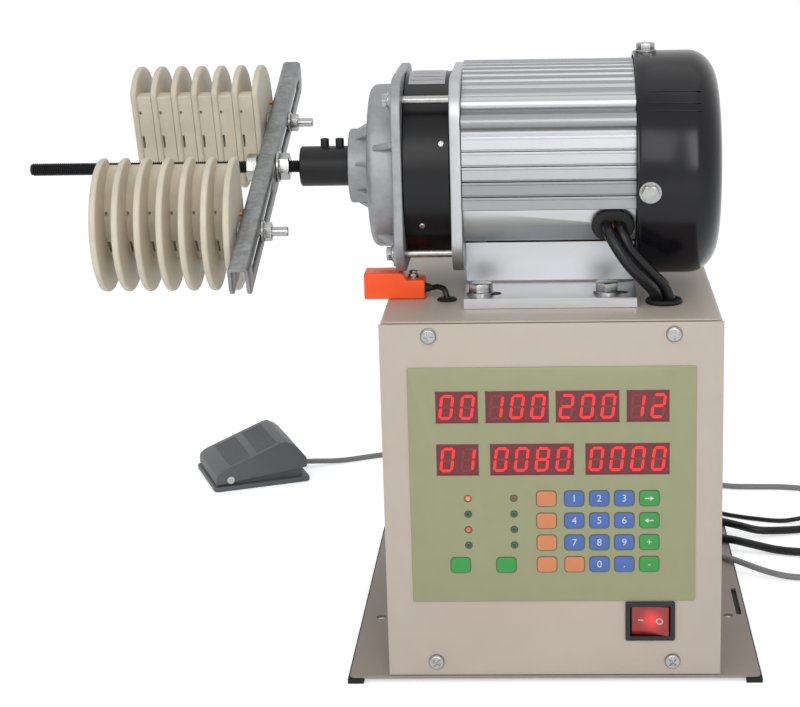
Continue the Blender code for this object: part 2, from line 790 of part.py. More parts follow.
def makePanels(paint):
    bottom = boxFoot
    top = boxTop - PANEL_TOP_DROP
    middle = (bottom + top) / 2
    outline = rectLoop(BOX_WIDTH + 2 * PANEL_PROUD, top - bottom)
    switch = rectLoop(SWITCH_BODY_WIDTH + 2 * GAP, SWITCH_BODY_HEIGHT + 2 * GAP,
                      SWITCH_X, boxFoot + SWITCH_Z - middle)
    panel = slabY([outline, switch, *windowLoops(middle, GAP)],
                  frontY, frontY + PANEL_THICKNESS, 0, middle)
    studs = []
    for sx in (-1, 1):
        for z in (BOARD_FLOOR + STUD_INSET, BOARD_FLOOR + BOARD_HEIGHT - STUD_INSET):
            x = sx * (BOARD_WIDTH / 2 - STUD_INSET)
            reach = boardNear - GAP - frontY - PANEL_THICKNESS / 2
            y = frontY + PANEL_THICKNESS / 2 + reach / 2
            studs.append(rod(STUD_RADIUS, reach, axesAlongY(x, y, boxFoot + z), ROUND_SMALL))
    addPart("front_panel", joined(panel, *studs, *panelScrews(frontY, -1)), paint)

    middle = (boxFoot + boxTop) / 2
    vents = [slotLoop(VENT_LENGTH, VENT_HEIGHT, 0, boxFoot + VENT_FLOOR + i * VENT_PITCH - middle)
             for i in range(VENT_COUNT)]
    outline = rectLoop(BOX_WIDTH + 2 * PANEL_PROUD, BOX_HEIGHT)
    rear = slabY([outline, *vents], coverBackY + GAP, rearY, 0, middle)
    addPart("rear_panel", joined(rear, *panelScrews(rearY, 1), *cordGlands()), paint)


def panelScrews(face, outward):
    """Four screws through a panel's face into the cover's flange."""
    sunk = face - outward * PANEL_THICKNESS / 2
    return [panScrew(PANEL_SCREW_HEAD_RADIUS, PANEL_SCREW_HEAD_HEIGHT + PANEL_THICKNESS / 2,
                     PANEL_SCREW_RADIUS, PANEL_SCREW_LENGTH, axesFromZ((x, sunk, z), (0, outward, 0)))
            for x, z in panelScrewPlaces()]


def cordGlands():
    """The glands that hold the cords in the rear panel."""
    glands = []
    for x in GLAND_PLACES:
        place = axesFromZ((x, rearY, boxFoot + GLAND_HEIGHT), (0, 1, 0))
        profile = [(0, GLAND_LENGTH), (GLAND_NOSE_RADIUS, GLAND_LENGTH), (GLAND_RADIUS, GLAND_LENGTH / 2),
                   (GLAND_RADIUS, -GLAND_INSIDE), (0, -GLAND_INSIDE)]
        glands.append(turned(profile, place, ROUND_SMALL))
    return glands


def makeKeypad(overlayGreen):
    middle = boxFoot + OVERLAY_FLOOR + OVERLAY_HEIGHT / 2
    loops = [roundedLoop(OVERLAY_WIDTH, OVERLAY_HEIGHT, OVERLAY_CORNER), *windowLoops(middle, GAP)]
    sheet = slabY(loops, overlayFrontY, frontY - GAP, 0, middle)
    keyBack = overlayFrontY + OVERLAY_THICKNESS / 2
    keys = [slabY([rectLoop(KEY_WIDTH, KEY_HEIGHT)], overlayFrontY - KEY_PROUD, keyBack, x, z)
            for x, z in keyPlaces()]
    addPart("keypad_overlay", joined(sheet, *keys), overlayGreen)


def makeBoard(boardGreen):
    """The board with the displays, the lamps and the larger chips that are soldered to it."""
    near = boardNear
    middle = boxFoot + BOARD_FLOOR + BOARD_HEIGHT / 2
    board = slabY([rectLoop(BOARD_WIDTH, BOARD_HEIGHT)], near, near + BOARD_THICKNESS, 0, middle)
    reach = DISPLAY_DEPTH + BOARD_THICKNESS / 2
    displayY = near - DISPLAY_DEPTH + reach / 2
    displays = [block((width, reach, DISPLAY_HEIGHT), axesUp(x, displayY, z))
                for x, z, width in displayPlaces()]
    reach += LAMP_PROUD + GAP
    lampY = near + BOARD_THICKNESS / 2 - reach / 2
    lamps = [rod(LAMP_RADIUS, reach, axesAlongY(x, lampY, z), ROUND_SIX) for x, z in lampPlaces()]
    chips = []
    for (width, height, depth), (x, z) in zip(CHIP_SIZES, CHIP_PLACES):
        reach = depth + BOARD_THICKNESS / 2
        y = near + BOARD_THICKNESS / 2 + reach / 2
        chips.append(block((width, reach, height), axesUp(x, y, boxFoot + z)))
    addPart("control_board", joined(board, *displays, *lamps, *chips), boardGreen)


def makePower(aluminium, casePaint):
    width, depth, height = SUPPLY_SIZE
    y = coverBackY - SUPPLY_FROM_BACK - depth / 2
    supply = block(SUPPLY_SIZE, axesUp(SUPPLY_X, y, plateTop + GAP + height / 2), SHEET)
    addPart("power_supply", supply, casePaint)

    width, depth, height = DRIVER_SIZE
    y = coverBackY - DRIVER_FROM_BACK - depth / 2
    low = plateTop + GAP
    points = [(-width / 2, 0), (width / 2, 0), (width / 2, height)]
    pitch = (width - FIN_THICKNESS) / (FIN_COUNT - 1)
    for fin in range(FIN_COUNT):
        right = width / 2 - fin * pitch
        left = right - FIN_THICKNESS
        if fin:
            points.append((right, height))
        points += [(right, height + FIN_HEIGHT), (left, height + FIN_HEIGHT)]
        if fin < FIN_COUNT - 1:
            points.append((left, height))
    driver = slabY([points], y - depth / 2, y + depth / 2, DRIVER_X, low)
    addPart("motor_driver", driver, aluminium)


def makeSwitch(blackPlastic, redPlastic):
    z = boxFoot + SWITCH_Z
    bezelFront = frontY - GAP - BEZEL_PROUD
    inner = rectLoop(SWITCH_BODY_WIDTH - 2 * SWITCH_WALL, SWITCH_BODY_HEIGHT - 2 * SWITCH_WALL)
    bezel = slabY([roundedLoop(BEZEL_WIDTH, BEZEL_HEIGHT, BEZEL_PROUD / 2, 1), inner],
                  bezelFront, frontY - GAP, SWITCH_X, z)
    bodyBack = frontY + SWITCH_BODY_DEPTH
    wall = slabY([rectLoop(SWITCH_BODY_WIDTH, SWITCH_BODY_HEIGHT), inner],
                 bezelFront + SWITCH_WALL, bodyBack, SWITCH_X, z)
    floor = slabY([rectLoop(SWITCH_BODY_WIDTH, SWITCH_BODY_HEIGHT)],
                  bodyBack - SWITCH_WALL, bodyBack + SWITCH_WALL, SWITCH_X, z)
    blades = []
    for side in (-1, 1):
        x = SWITCH_X + side * SWITCH_BODY_WIDTH / 4
        blades.append(block((TERMINAL_THICKNESS, TERMINAL_LENGTH, TERMINAL_WIDTH),
                            axesUp(x, bodyBack + TERMINAL_LENGTH / 2, z)))
    addPart("switch_frame", joined(bezel, wall, floor, *blades), blackPlastic)

    # The rocker's section in its own frame: x across, y out of the panel, pivot at zero.
    points = [(-ROCKER_HALF, -ROCKER_DEPTH), (-ROCKER_HALF, ROCKER_DISH), (0, -ROCKER_DISH),
              (ROCKER_HALF, ROCKER_DISH), (ROCKER_HALF, -ROCKER_DEPTH),
              (ROCKER_HALF / 2, -ROCKER_BULGE), (-ROCKER_HALF / 2, -ROCKER_BULGE)]
    pivot = Vector((SWITCH_X, frontY - ROCKER_PIVOT_DEPTH, z))
    turn = Matrix.Rotation(-ROCKER_TILT, 4, "Z") @ Matrix.Rotation(math.pi, 4, "X")
    place = Matrix.Translation(pivot) @ turn
    rocker = flat([points], ROCKER_HEIGHT, place)
    addPart("rocker", rocker, redPlastic, pivot)


# Motor

def bodyLoop():
    """The extruded body's section about the motor axis, front half, then mirrored to the back."""
    half = []
    ribPitch = TOP_EDGE[0] / RIB_COUNT
    fall = BODY_TOP - TOP_EDGE[1]
    for rib in range(RIB_COUNT):
        for share, drop in ((0, 0), (RIB_END_SHARE, 0), (RIB_FOOT_SHARE, RIB_DEPTH),
                            (RIB_NEXT_SHARE, RIB_DEPTH)):
            across = (rib + share) * ribPitch
            crown = BODY_TOP - fall * (across / TOP_EDGE[0]) ** 2
            half.append((across, crown - drop))
    half.append(TOP_EDGE)
    for cx, cz in reversed(ROLL_CENTRES):
        aim = math.atan2(cz, cx)
        for step in range(ROLL_STEPS + 1):
            angle = aim + ROLL_SWEEP * (1 - 2 * step / ROLL_STEPS)
            half.append((cx + ROLL_RADIUS * math.cos(angle), cz + ROLL_RADIUS * math.sin(angle)))
    pitch = (LAND_TOP - LAND_FOOT) / LAND_COUNT
    for land in range(LAND_COUNT):
        z = LAND_TOP - land * pitch
        half += [(BODY_FRONT - GROOVE_DEPTH, z), (BODY_FRONT - GROOVE_DEPTH, z - GROOVE_WIDTH),
                 (BODY_FRONT, z - GROOVE_WIDTH), (BODY_FRONT, z - pitch)]
    half += [(RECESS_FRONT, LAND_FOOT - GROOVE_WIDTH),
             (RECESS_FRONT - GROOVE_DEPTH, RECESS_FOOT / 2 + LAND_FOOT / 2),
             (BODY_FRONT / 2 + PEDESTAL_HALF / 2, RECESS_FOOT - GROOVE_WIDTH)]
    sole = GAP - AXIS_HEIGHT
    half += [(PEDESTAL_HALF, RECESS_FOOT - 2 * GROOVE_WIDTH), (PEDESTAL_HALF, sole + FOOT_FLANGE),
             (FOOT_HALF, sole + FOOT_FLANGE), (FOOT_HALF, sole),
             (PEDESTAL_HALF - PEDESTAL_WALL, sole), (PEDESTAL_HALF - PEDESTAL_WALL, PEDESTAL_ROOF)]
    front = [(-y, z) for y, z in half]
    return front + list(reversed(half[1:]))


def makeMotorBody(aluminium):
    body = slabX([bodyLoop(), roundLoop(BODY_BORE, ROUND_LARGE)], BODY_LEFT, BODY_RIGHT, axisY, axisZ)
    cutters = [rod(MOTOR_GROMMET_RADIUS, BODY_FRONT, axesAlongY(
        MOTOR_CABLE_EXIT, axisY - BODY_FRONT, axisZ - MOTOR_CABLE_EXIT_DROP), ROUND_MEDIUM)]
    addPart("motor_body", joined(cutBy(body, *cutters), *footBolts()), aluminium)


def footBolts():
    """Bolts with their washers that hold the body's foot flanges down, and their nuts inside."""
    shapes = []
    low = boxTop + GAP + FOOT_FLANGE
    nutTop = boxTop - SHEET - GAP
    for x, y in footBoltPlaces():
        washer = slabZ([roundLoop(FOOT_WASHER_RADIUS, ROUND_SMALL)], low - OVERRUN, low + FOOT_WASHER, x, y)
        bolt = hexBolt(FOOT_BOLT_FLATS, FOOT_BOLT_HEAD, FOOT_BOLT_RADIUS, FOOT_BOLT_LENGTH,
                       axesUp(x, y, low + FOOT_WASHER / 2))
        nut = slabZ([hexLoop(FOOT_BOLT_FLATS)], nutTop - FOOT_NUT, nutTop, x, y)
        shapes.append(joined(bolt, washer, nut))
    return shapes


def tiePlaces():
    return [(sy * TIE_SPREAD, sz * TIE_SPREAD) for sy in (-1, 1) for sz in (-1, 1)]


def flangeLoops(bore, sides=ROUND_LARGE):
    loops = [roundedLoop(2 * FLANGE_HALF, 2 * FLANGE_HALF, FLANGE_CORNER, 3), roundLoop(bore, sides)]
    return loops + [roundLoop((TIE_RADIUS + HOLE_CLEARANCE) / math.cos(math.pi / ROUND_SIX), ROUND_SIX, y, z)
                    for y, z in tiePlaces()]


def makeGearHousing(castAluminium, black):
    mid = slabX(flangeLoops(BEARING_OUTER + GAP, ROUND_MEDIUM), CASING_RIGHT, BODY_LEFT - GAP, axisY, axisZ)
    addPart("mid_flange", mid, castAluminium)

    left = HOUSING_RIGHT + GAP
    right = CASING_RIGHT - GAP
    profile = [(left, CASING_RADIUS), (right, CASING_RADIUS), (right, MID_BORE + CASING_FLOOR),
               (right - CASING_FLOOR, MID_BORE + CASING_FLOOR),
               (right - CASING_FLOOR, CASING_RADIUS - CASING_WALL), (left, CASING_RADIUS - CASING_WALL)]
    addPart("gear_casing", turnedX(profile, ROUND_LARGE, True), black)

    bore = OUTPUT_BEARING_OUTER + GAP
    seat = OUTPUT_SHAFT_RADIUS + 2 * GAP
    profile = [(HUB_LEFT, HUB_RADIUS), (DOME_LEFT, HUB_RADIUS), (DOME_LEFT, DOME_SHOULDER),
               (DOME_RIGHT - DOME_WALL, DOME_RADIUS), (HOUSING_RIGHT - DOME_WALL / 2, DOME_RADIUS),
               (HOUSING_RIGHT - DOME_WALL / 2, DOME_RADIUS - DOME_WALL),
               (DOME_RIGHT - DOME_WALL / 2, DOME_RADIUS - DOME_WALL),
               (DOME_LEFT + DOME_WALL, DOME_SHOULDER - DOME_WALL), (DOME_LEFT + DOME_WALL, bore),
               (HUB_LEFT + DOME_WALL, bore), (HUB_LEFT + DOME_WALL, seat), (HUB_LEFT, seat)]
    dome = turnedX(profile, ROUND_LARGE, True)
    flangeBore = DOME_RADIUS - DOME_WALL / 2
    flange = slabX(flangeLoops(flangeBore)[:2], DOME_RIGHT, HOUSING_RIGHT, axisY, axisZ)
    bolts = []
    for y, z in tiePlaces():
        head = DOME_RIGHT + OVERRUN
        place = axesFromZ((head, axisY + y, axisZ + z), (-1, 0, 0))
        length = BODY_LEFT - GAP - head
        bolts.append(hexBolt(TIE_FLATS, TIE_HEAD + OVERRUN, TIE_RADIUS, length, place))
    addPart("front_housing", joined(dome, flange, *bolts), castAluminium)


def makeRearCap(glossBlack):
    left = BODY_RIGHT + GAP
    shoulder = CAP_RIGHT - CAP_SHOULDER
    bossLeft = CAP_RIGHT - CAP_BOSS_LENGTH
    outer = [(left, CAP_RADIUS), (shoulder, CAP_RADIUS)]
    inner = []
    for step in range(1, 5):
        angle = math.pi / 2 * step / 4
        outer.append((shoulder + CAP_SHOULDER * math.sin(angle),
                      CAP_FACE_RADIUS + (CAP_RADIUS - CAP_FACE_RADIUS) * math.cos(angle)))
    for step in range(3, -1, -1):
        angle = math.pi / 2 * step / 3
        inner.append((shoulder + (CAP_SHOULDER - CAP_WALL) * math.sin(angle),
                      CAP_FACE_RADIUS + (CAP_RADIUS - CAP_WALL - CAP_FACE_RADIUS) * math.cos(angle)))
    seat = BEARING_OUTER + GAP
    boss = [(CAP_RIGHT - CAP_WALL, seat + CAP_WALL), (bossLeft, seat + CAP_WALL), (bossLeft, seat),
            (CAP_RIGHT - CAP_WALL, seat), (CAP_RIGHT - CAP_WALL, 0)]
    profile = [(CAP_RIGHT, 0)] + list(reversed(outer)) + [(left, CAP_RADIUS - CAP_WALL)] \
        + list(reversed(inner)) + boss
    cap = turnedX(profile, ROUND_LARGE)
    bolts = []
    x = BODY_RIGHT + CAP_SCREW_SETBACK
    for angle in CAP_SCREW_ANGLES:
        out = Vector((0, math.cos(math.radians(angle)), math.sin(math.radians(angle))))
        point = Vector((x, axisY, axisZ)) + out * (CAP_RADIUS - CAP_WALL / 2)
        bolts.append(flat([hexLoop(2 * CAP_SCREW_HEAD)], CAP_SCREW_HEAD_HEIGHT, axesFromZ(point, out)
                          @ axesUp(0, 0, CAP_SCREW_HEAD_HEIGHT / 2)))
    addPart("rear_cap", joined(cap, *bolts), glossBlack)


def makeMotorInside(steel, copper):
    outer = BODY_BORE * math.cos(math.pi / ROUND_LARGE) - GAP / 2
    profile = [(STATOR_LEFT, outer), (STATOR_RIGHT, outer), (STATOR_RIGHT, STATOR_WINDING_RADIUS),
               (STATOR_RIGHT + STATOR_WINDING, STATOR_WINDING_RADIUS),
               (STATOR_RIGHT + STATOR_WINDING, STATOR_BORE + STATOR_WINDING / 4),
               (STATOR_RIGHT, STATOR_BORE), (STATOR_LEFT, STATOR_BORE),
               (STATOR_LEFT - STATOR_WINDING, STATOR_BORE + STATOR_WINDING / 4),
               (STATOR_LEFT - STATOR_WINDING, STATOR_WINDING_RADIUS), (STATOR_LEFT, STATOR_WINDING_RADIUS)]
    axes = axesAlongX(0, axisY, axisZ) @ Matrix.Rotation(STATOR_TURN, 4, "Z")
    addPart("stator", turned([(radius, x) for x, radius in profile], axes, ROUND_LARGE, True), copper)

    core = STATOR_BORE - AIR_GAP
    rotor = [(shaftBearingRight, 0), (shaftBearingRight, SHAFT_RADIUS), (STATOR_RIGHT, SHAFT_RADIUS),
             (STATOR_RIGHT, core), (STATOR_LEFT, core), (STATOR_LEFT, SHAFT_RADIUS),
             (GEAR_RIGHT + 2 * GAP, SHAFT_RADIUS), (GEAR_RIGHT + 2 * GAP, PINION_SHAFT_RADIUS),
             (GEAR_LEFT + OVERRUN, PINION_SHAFT_RADIUS), (GEAR_LEFT + OVERRUN, 0)]
    pinion = slabX([gearLoop(SUN_TEETH, addendum, dedendum, 0)], GEAR_LEFT, GEAR_RIGHT, axisY, axisZ)
    addPart("rotor", joined(turnedX(rotor, ROUND_MEDIUM), pinion), steel, axisPoint)

    for name, left in (("front_rotor_bearing", CASING_RIGHT),
                       ("rear_rotor_bearing", shaftBearingRight - BEARING_WIDTH)):
        ring = ringSolid(SHAFT_RADIUS + GAP, BEARING_OUTER, BEARING_WIDTH, axesAlongX(left, axisY, axisZ),
                         ROUND_MEDIUM)
        addPart(name, ring, steel)
    ring = ringSolid(OUTPUT_SHAFT_RADIUS + GAP, OUTPUT_BEARING_OUTER, OUTPUT_BEARING_WIDTH,
                     axesAlongX(HUB_LEFT + DOME_WALL + GAP, axisY, axisZ), ROUND_MEDIUM)
    addPart("output_bearing", ring, steel)


def makeGears(steel, carrierSteel):
    ringStart = math.pi / RING_TEETH
    ring = [roundLoop(ringRim, ROUND_LARGE), gearLoop(RING_TEETH, addendum, dedendum, ringStart, True)]
    addPart("ring_gear", slabX(ring, GEAR_LEFT, GEAR_RIGHT, axisY, axisZ), steel)

    orbit = GEAR_MODULE * (SUN_TEETH + PLANET_TEETH) / 2
    pins = []
    for index in range(PLANET_COUNT):
        around = 2 * math.pi * index / PLANET_COUNT
        y = axisY + orbit * math.cos(around)
        z = axisZ + orbit * math.sin(around)
        # A gap of the planet faces the sun's tooth, so a tooth of it faces the ring's gap.
        planet = [gearLoop(PLANET_TEETH, addendum, dedendum, around),
                  roundLoop((PLANET_PIN_RADIUS + GAP) / math.cos(math.pi / ROUND_SMALL), ROUND_SMALL)]
        addPart("planet_gear_%d" % (index + 1), slabX(planet, GEAR_LEFT, GEAR_RIGHT, y, z), steel,
                (0, y, z))
        pins.append(rodX(PLANET_PIN_RADIUS, CARRIER_RIGHT - OVERRUN, GEAR_RIGHT + OVERRUN, y, z, ROUND_SMALL))

    shaftEnd = COUPLING_RIGHT - OUTPUT_SHAFT_LENGTH
    profile = [(CARRIER_RIGHT, 0), (CARRIER_RIGHT, CARRIER_RADIUS), (CARRIER_LEFT, CARRIER_RADIUS),
               (CARRIER_LEFT, OUTPUT_SHAFT_RADIUS), (shaftEnd, OUTPUT_SHAFT_RADIUS), (shaftEnd, 0)]
    addPart("planet_carrier", joined(turnedX(profile, ROUND_MEDIUM), *pins), carrierSteel, axisPoint)


# Spindle

def onArm(x, along, rise):
    """A point given by its place along the arm and its rise from the arm's middle plane."""
    return Vector((x, axisY + along * math.cos(ARM_TILT) - rise * math.sin(ARM_TILT),
                   axisZ + along * math.sin(ARM_TILT) + rise * math.cos(ARM_TILT)))


def makeSpindle(blackSteel):
    split = COUPLING_LEFT + ROD_IN_COUPLING + GAP
    shaftBore = OUTPUT_SHAFT_RADIUS + GAP
    rodBore = ROD_RADIUS + GAP
    profile = [(COUPLING_LEFT, COUPLING_RADIUS), (COUPLING_RIGHT, COUPLING_RADIUS),
               (COUPLING_RIGHT, shaftBore), (split, shaftBore), (split, rodBore), (COUPLING_LEFT, rodBore)]
    low = (shaftBore + COUPLING_RADIUS) / 2
    high = COUPLING_RADIUS + COUPLING_SCREW_PROUD
    screws = [rod(COUPLING_SCREW_RADIUS, high - low, axesUp(x, axisY, axisZ + (low + high) / 2), ROUND_SMALL)
              for x in COUPLING_SCREW_X]
    addPart("shaft_coupling", joined(turnedX(profile, ROUND_MEDIUM, True), *screws), blackSteel, axisPoint)

    threaded = rodX(ROD_RADIUS, ROD_LEFT, COUPLING_LEFT + ROD_IN_COUPLING, axisY, axisZ, ROUND_MEDIUM)
    washerLeft = ARM_RIGHT + GAP
    nutRight = washerLeft + ARM_WASHER + ARM_NUT_HEIGHT
    farNut = ARM_LEFT - GAP
    washer = rodX(ARM_WASHER_RADIUS, washerLeft, washerLeft + ARM_WASHER, axisY, axisZ, ROUND_MEDIUM)
    nuts = [slabX([hexLoop(ARM_NUT_FLATS)], left, right, axisY, axisZ)
            for left, right in ((washerLeft + ARM_WASHER / 2, nutRight), (farNut - ARM_NUT_HEIGHT, farNut))]
    addPart("threaded_rod", joined(threaded, washer, *nuts), blackSteel, axisPoint)


def legLoops():
    """One leg of the arm: square corners at the web, round ends below, two slots and a hole."""
    points = [(ARM_HALF, ARM_TOP), (-ARM_HALF, ARM_TOP)]
    for side, start in ((-1, math.pi), (1, -math.pi / 2)):
        for step in range(4):
            angle = start + math.pi / 2 * step / 3
            points.append((side * (ARM_HALF - ARM_END_RADIUS) + ARM_END_RADIUS * math.cos(angle),
                           ARM_END_RADIUS - ARM_FOOT + ARM_END_RADIUS * math.sin(angle)))
    slotLength = SLOT_FAR - SLOT_NEAR
    slotMiddle = (SLOT_FAR + SLOT_NEAR) / 2
    slots = [slotLoop(slotLength, 2 * SLOT_HALF, side * slotMiddle, armSlotCentre, 3) for side in (-1, 1)]
    return [points, *slots, roundLoop(ROD_RADIUS + HOLE_CLEARANCE, ROUND_SMALL)]


def makeArm(zinc):
    left = slabX(legLoops(), ARM_LEFT, ARM_LEFT + ARM_WALL, axisY, axisZ, ARM_TILT)
    right = slabX(legLoops(), ARM_RIGHT - ARM_WALL, ARM_RIGHT, axisY, axisZ, ARM_TILT)
    middle = onArm((ARM_LEFT + ARM_RIGHT) / 2, 0, ARM_TOP - ARM_WALL / 2)
    webWidth = ARM_RIGHT - ARM_LEFT - ARM_WALL
    web = block((webWidth, 2 * ARM_HALF, ARM_WALL),
                Matrix.Translation(middle) @ Matrix.Rotation(ARM_TILT, 4, "X"))
    addPart("arm_channel", joined(left, right, web), zinc, axisPoint)


def makeFormers(name, centre, pinOutward, nylon, zinc):
    """A stack of formers on its bolt. Each former is a flange and a core, and the last is a flange
    with the copper pin that keeps the stack square to the arm."""
    side = 1 if centre > 0 else -1
    boltAt = centre + side * BOLT_OUTWARD
    boltHole = roundLoop(FORMER_BOLT_RADIUS + GAP, ROUND_SMALL, boltAt, armSlotCentre)
    rim = segmentLoop(FLANGE_RADIUS, FLANGE_FLAT, centre, side)
    coreRim = segmentLoop(CORE_RADIUS, CORE_FLAT, centre, side, CORE_STEPS)
    origin = onArm(0, boltAt, armSlotCentre)
    for index in range(FORMER_COUNT):
        left = stackLeft + index * FORMER_PITCH
        right = left + FLANGE_PLATE
        former = slabX([rim, boltHole], left, right, axisY, axisZ, ARM_TILT)
        if index < FORMER_COUNT - 1:
            nextLeft = left + FORMER_PITCH - GAP
            core = slabX([coreRim, boltHole], right - OVERRUN, nextLeft, axisY, axisZ, ARM_TILT)
            former = joined(former, core)
        else:
            point = onArm(0, centre + side * pinOutward, PIN_RISE)
            former = joined(former, rodX(PIN_RADIUS, right - OVERRUN, ARM_LEFT - GAP, point.y, point.z,
                                         ROUND_SMALL))
        addPart("%s_former_%d" % (name, index + 1), former, nylon, origin)

    def disc(left, right, sides, radius):
        return rodX(radius, left, right, origin.y, origin.z, sides)

    washerRight = ARM_RIGHT + GAP + FORMER_WASHER
    nutRight = washerRight + FORMER_NUT
    headRight = stackLeft - GAP
    bolt = hexBolt(FORMER_BOLT_FLATS, FORMER_BOLT_HEAD, FORMER_BOLT_RADIUS, nutRight + BOLT_TAIL - headRight,
                   axesFromZ((headRight, origin.y, origin.z), (-1, 0, 0)))
    spacer = disc(lastFlangeRight + GAP, ARM_LEFT - GAP, ROUND_SMALL, FORMER_WASHER_RADIUS)
    washer = disc(ARM_RIGHT + GAP, washerRight, ROUND_SMALL, FORMER_WASHER_RADIUS)
    nut = slabX([hexLoop(FORMER_BOLT_FLATS)], washerRight - FORMER_WASHER / 2, nutRight, origin.y, origin.z)
    addPart(name + "_former_bolt", joined(bolt, spacer, washer, nut), zinc, origin)


# Sensor and motor cables

def fromHole(hole, route):
    """A route given from the middle of a hole in the cabinet's top."""
    return [(hole[0] + x, frontY + hole[1] + y, boxTop + z) for x, y, z in route]


def makeSensor(orange, blackRubber):
    low = boxTop + GAP
    near = frontY + SENSOR_FROM_FRONT
    far = near + SENSOR_DEPTH
    points = [(SENSOR_LEFT, 0), (SENSOR_RIGHT, 0), (SENSOR_RIGHT, SENSOR_LOW_HEIGHT),
              (SENSOR_STEP, SENSOR_LOW_HEIGHT), (SENSOR_STEP, SENSOR_HEIGHT), (SENSOR_LEFT, SENSOR_HEIGHT)]
    body = slabY([points], near, far, 0, low)
    middle = (near + far) / 2
    washerZ = low + SENSOR_LOW_HEIGHT
    headZ = washerZ + SENSOR_WASHER / 2
    screw = panScrew(SENSOR_HEAD_RADIUS, SENSOR_HEAD_HEIGHT, SENSOR_SCREW_RADIUS,
                     headZ - boxTop + 2 * OVERRUN, axesUp(SENSOR_SCREW_X, middle, headZ))
    washer = slabZ([roundLoop(SENSOR_WASHER_RADIUS, ROUND_MEDIUM)], washerZ - OVERRUN,
                   washerZ + SENSOR_WASHER, SENSOR_SCREW_X, middle)
    addPart("sensor", joined(body, washer, screw), orange)

    route = [(-0.0137, 0.0090, 0.0063), (-0.0090, 0.0090, 0.0063), (-0.0060, 0.0065, 0.0072),
             (-0.0020, 0.0025, 0.0067), (-0.0003, 0.0003, 0.0027), (0.0000, 0.0000, -0.0018),
             (0.0000, 0.0000, -0.0198)]
    route = fromHole(SENSOR_HOLE, route)
    cable = tube(smoothRoute(route, 2.5 * SENSOR_CABLE_RADIUS), SENSOR_CABLE_RADIUS, 2)
    addPart("sensor_cable", cable, blackRubber)


def makeMotorCables(blackRubber):
    """Two cables from the motor's side, down into the cabinet's top."""
    front = [(-0.0353, 0.0088, 0.0480), (-0.0353, 0.0008, 0.0480), (-0.0333, -0.0082, 0.0447),
             (-0.0280, -0.0132, 0.0357), (-0.0205, -0.0137, 0.0252), (-0.0125, -0.0107, 0.0162),
             (-0.0063, -0.0052, 0.0082), (-0.0039, -0.0012, 0.0002), (-0.0039, -0.0007, -0.0068),
             (-0.0039, -0.0007, -0.0178)]
    back = [(-0.0267, 0.0088, 0.0480), (-0.0267, 0.0018, 0.0478), (-0.0255, -0.0042, 0.0442),
            (-0.0220, -0.0062, 0.0362), (-0.0150, -0.0037, 0.0272), (-0.0073, -0.0007, 0.0182),
            (0.0002, 0.0018, 0.0097), (0.0041, 0.0020, 0.0002), (0.0043, 0.0018, -0.0068),
            (0.0043, 0.0018, -0.0178)]
    for name, route in (("front_motor_cable", front), ("back_motor_cable", back)):
        route = fromHole(MOTOR_HOLE, route)
        cable = tube(smoothRoute(route, 3 * MOTOR_CABLE_RADIUS), MOTOR_CABLE_RADIUS, 2)
        addPart(name, cable, blackRubber)


# Foot pedal

def onPedal(along, across, height):
    corner = Vector((PEDAL_CORNER[0], PEDAL_CORNER[1], floorZ))
    return corner + pedalAlong * along + pedalAcross * across + Vector((0, 0, height))


def pedalSide(near, far, loops):
    """Outlines of length and height, given their width from one side of the pedal to the other."""
    turn = Matrix((pedalAlong, (0, 0, 1), -pedalAcross)).transposed().to_4x4()
    return flat(loops, far - near, Matrix.Translation(onPedal(0, (near + far) / 2, 0)) @ turn)


def pedalPlace(along, across, height):
    return Matrix.Translation(onPedal(along, across, height)) @ Matrix.Rotation(PEDAL_TURN, 4, "Z")


def coverSection(inset):
    """The pedal cover's side outline, drawn in by the inset on all but its open foot."""
    low = COVER_FOOT if not inset else COVER_FOOT - OVERRUN
    nose = COVER_INSET + inset
    tail = PEDAL_LENGTH - COVER_INSET - inset
    travel = PEDAL_LENGTH * math.sin(PEDAL_TRAVEL)
    heelLow = low + travel + (0 if not inset else -2 * OVERRUN)
    return [(nose, low), (tail, heelLow), (tail, COVER_HEEL + travel - inset),
            (tail - COVER_BACK / 2, COVER_HIGH - COVER_NOSE - inset),
            (tail - COVER_BACK, COVER_HIGH - COVER_EASE - inset), (COVER_CREST, COVER_HIGH - inset),
            (COVER_CREST - COVER_NOSE, COVER_HIGH - COVER_EASE - inset),
            (nose + COVER_NOSE, COVER_LOW + COVER_NOSE / 2 - inset), (nose, COVER_LOW - inset)]


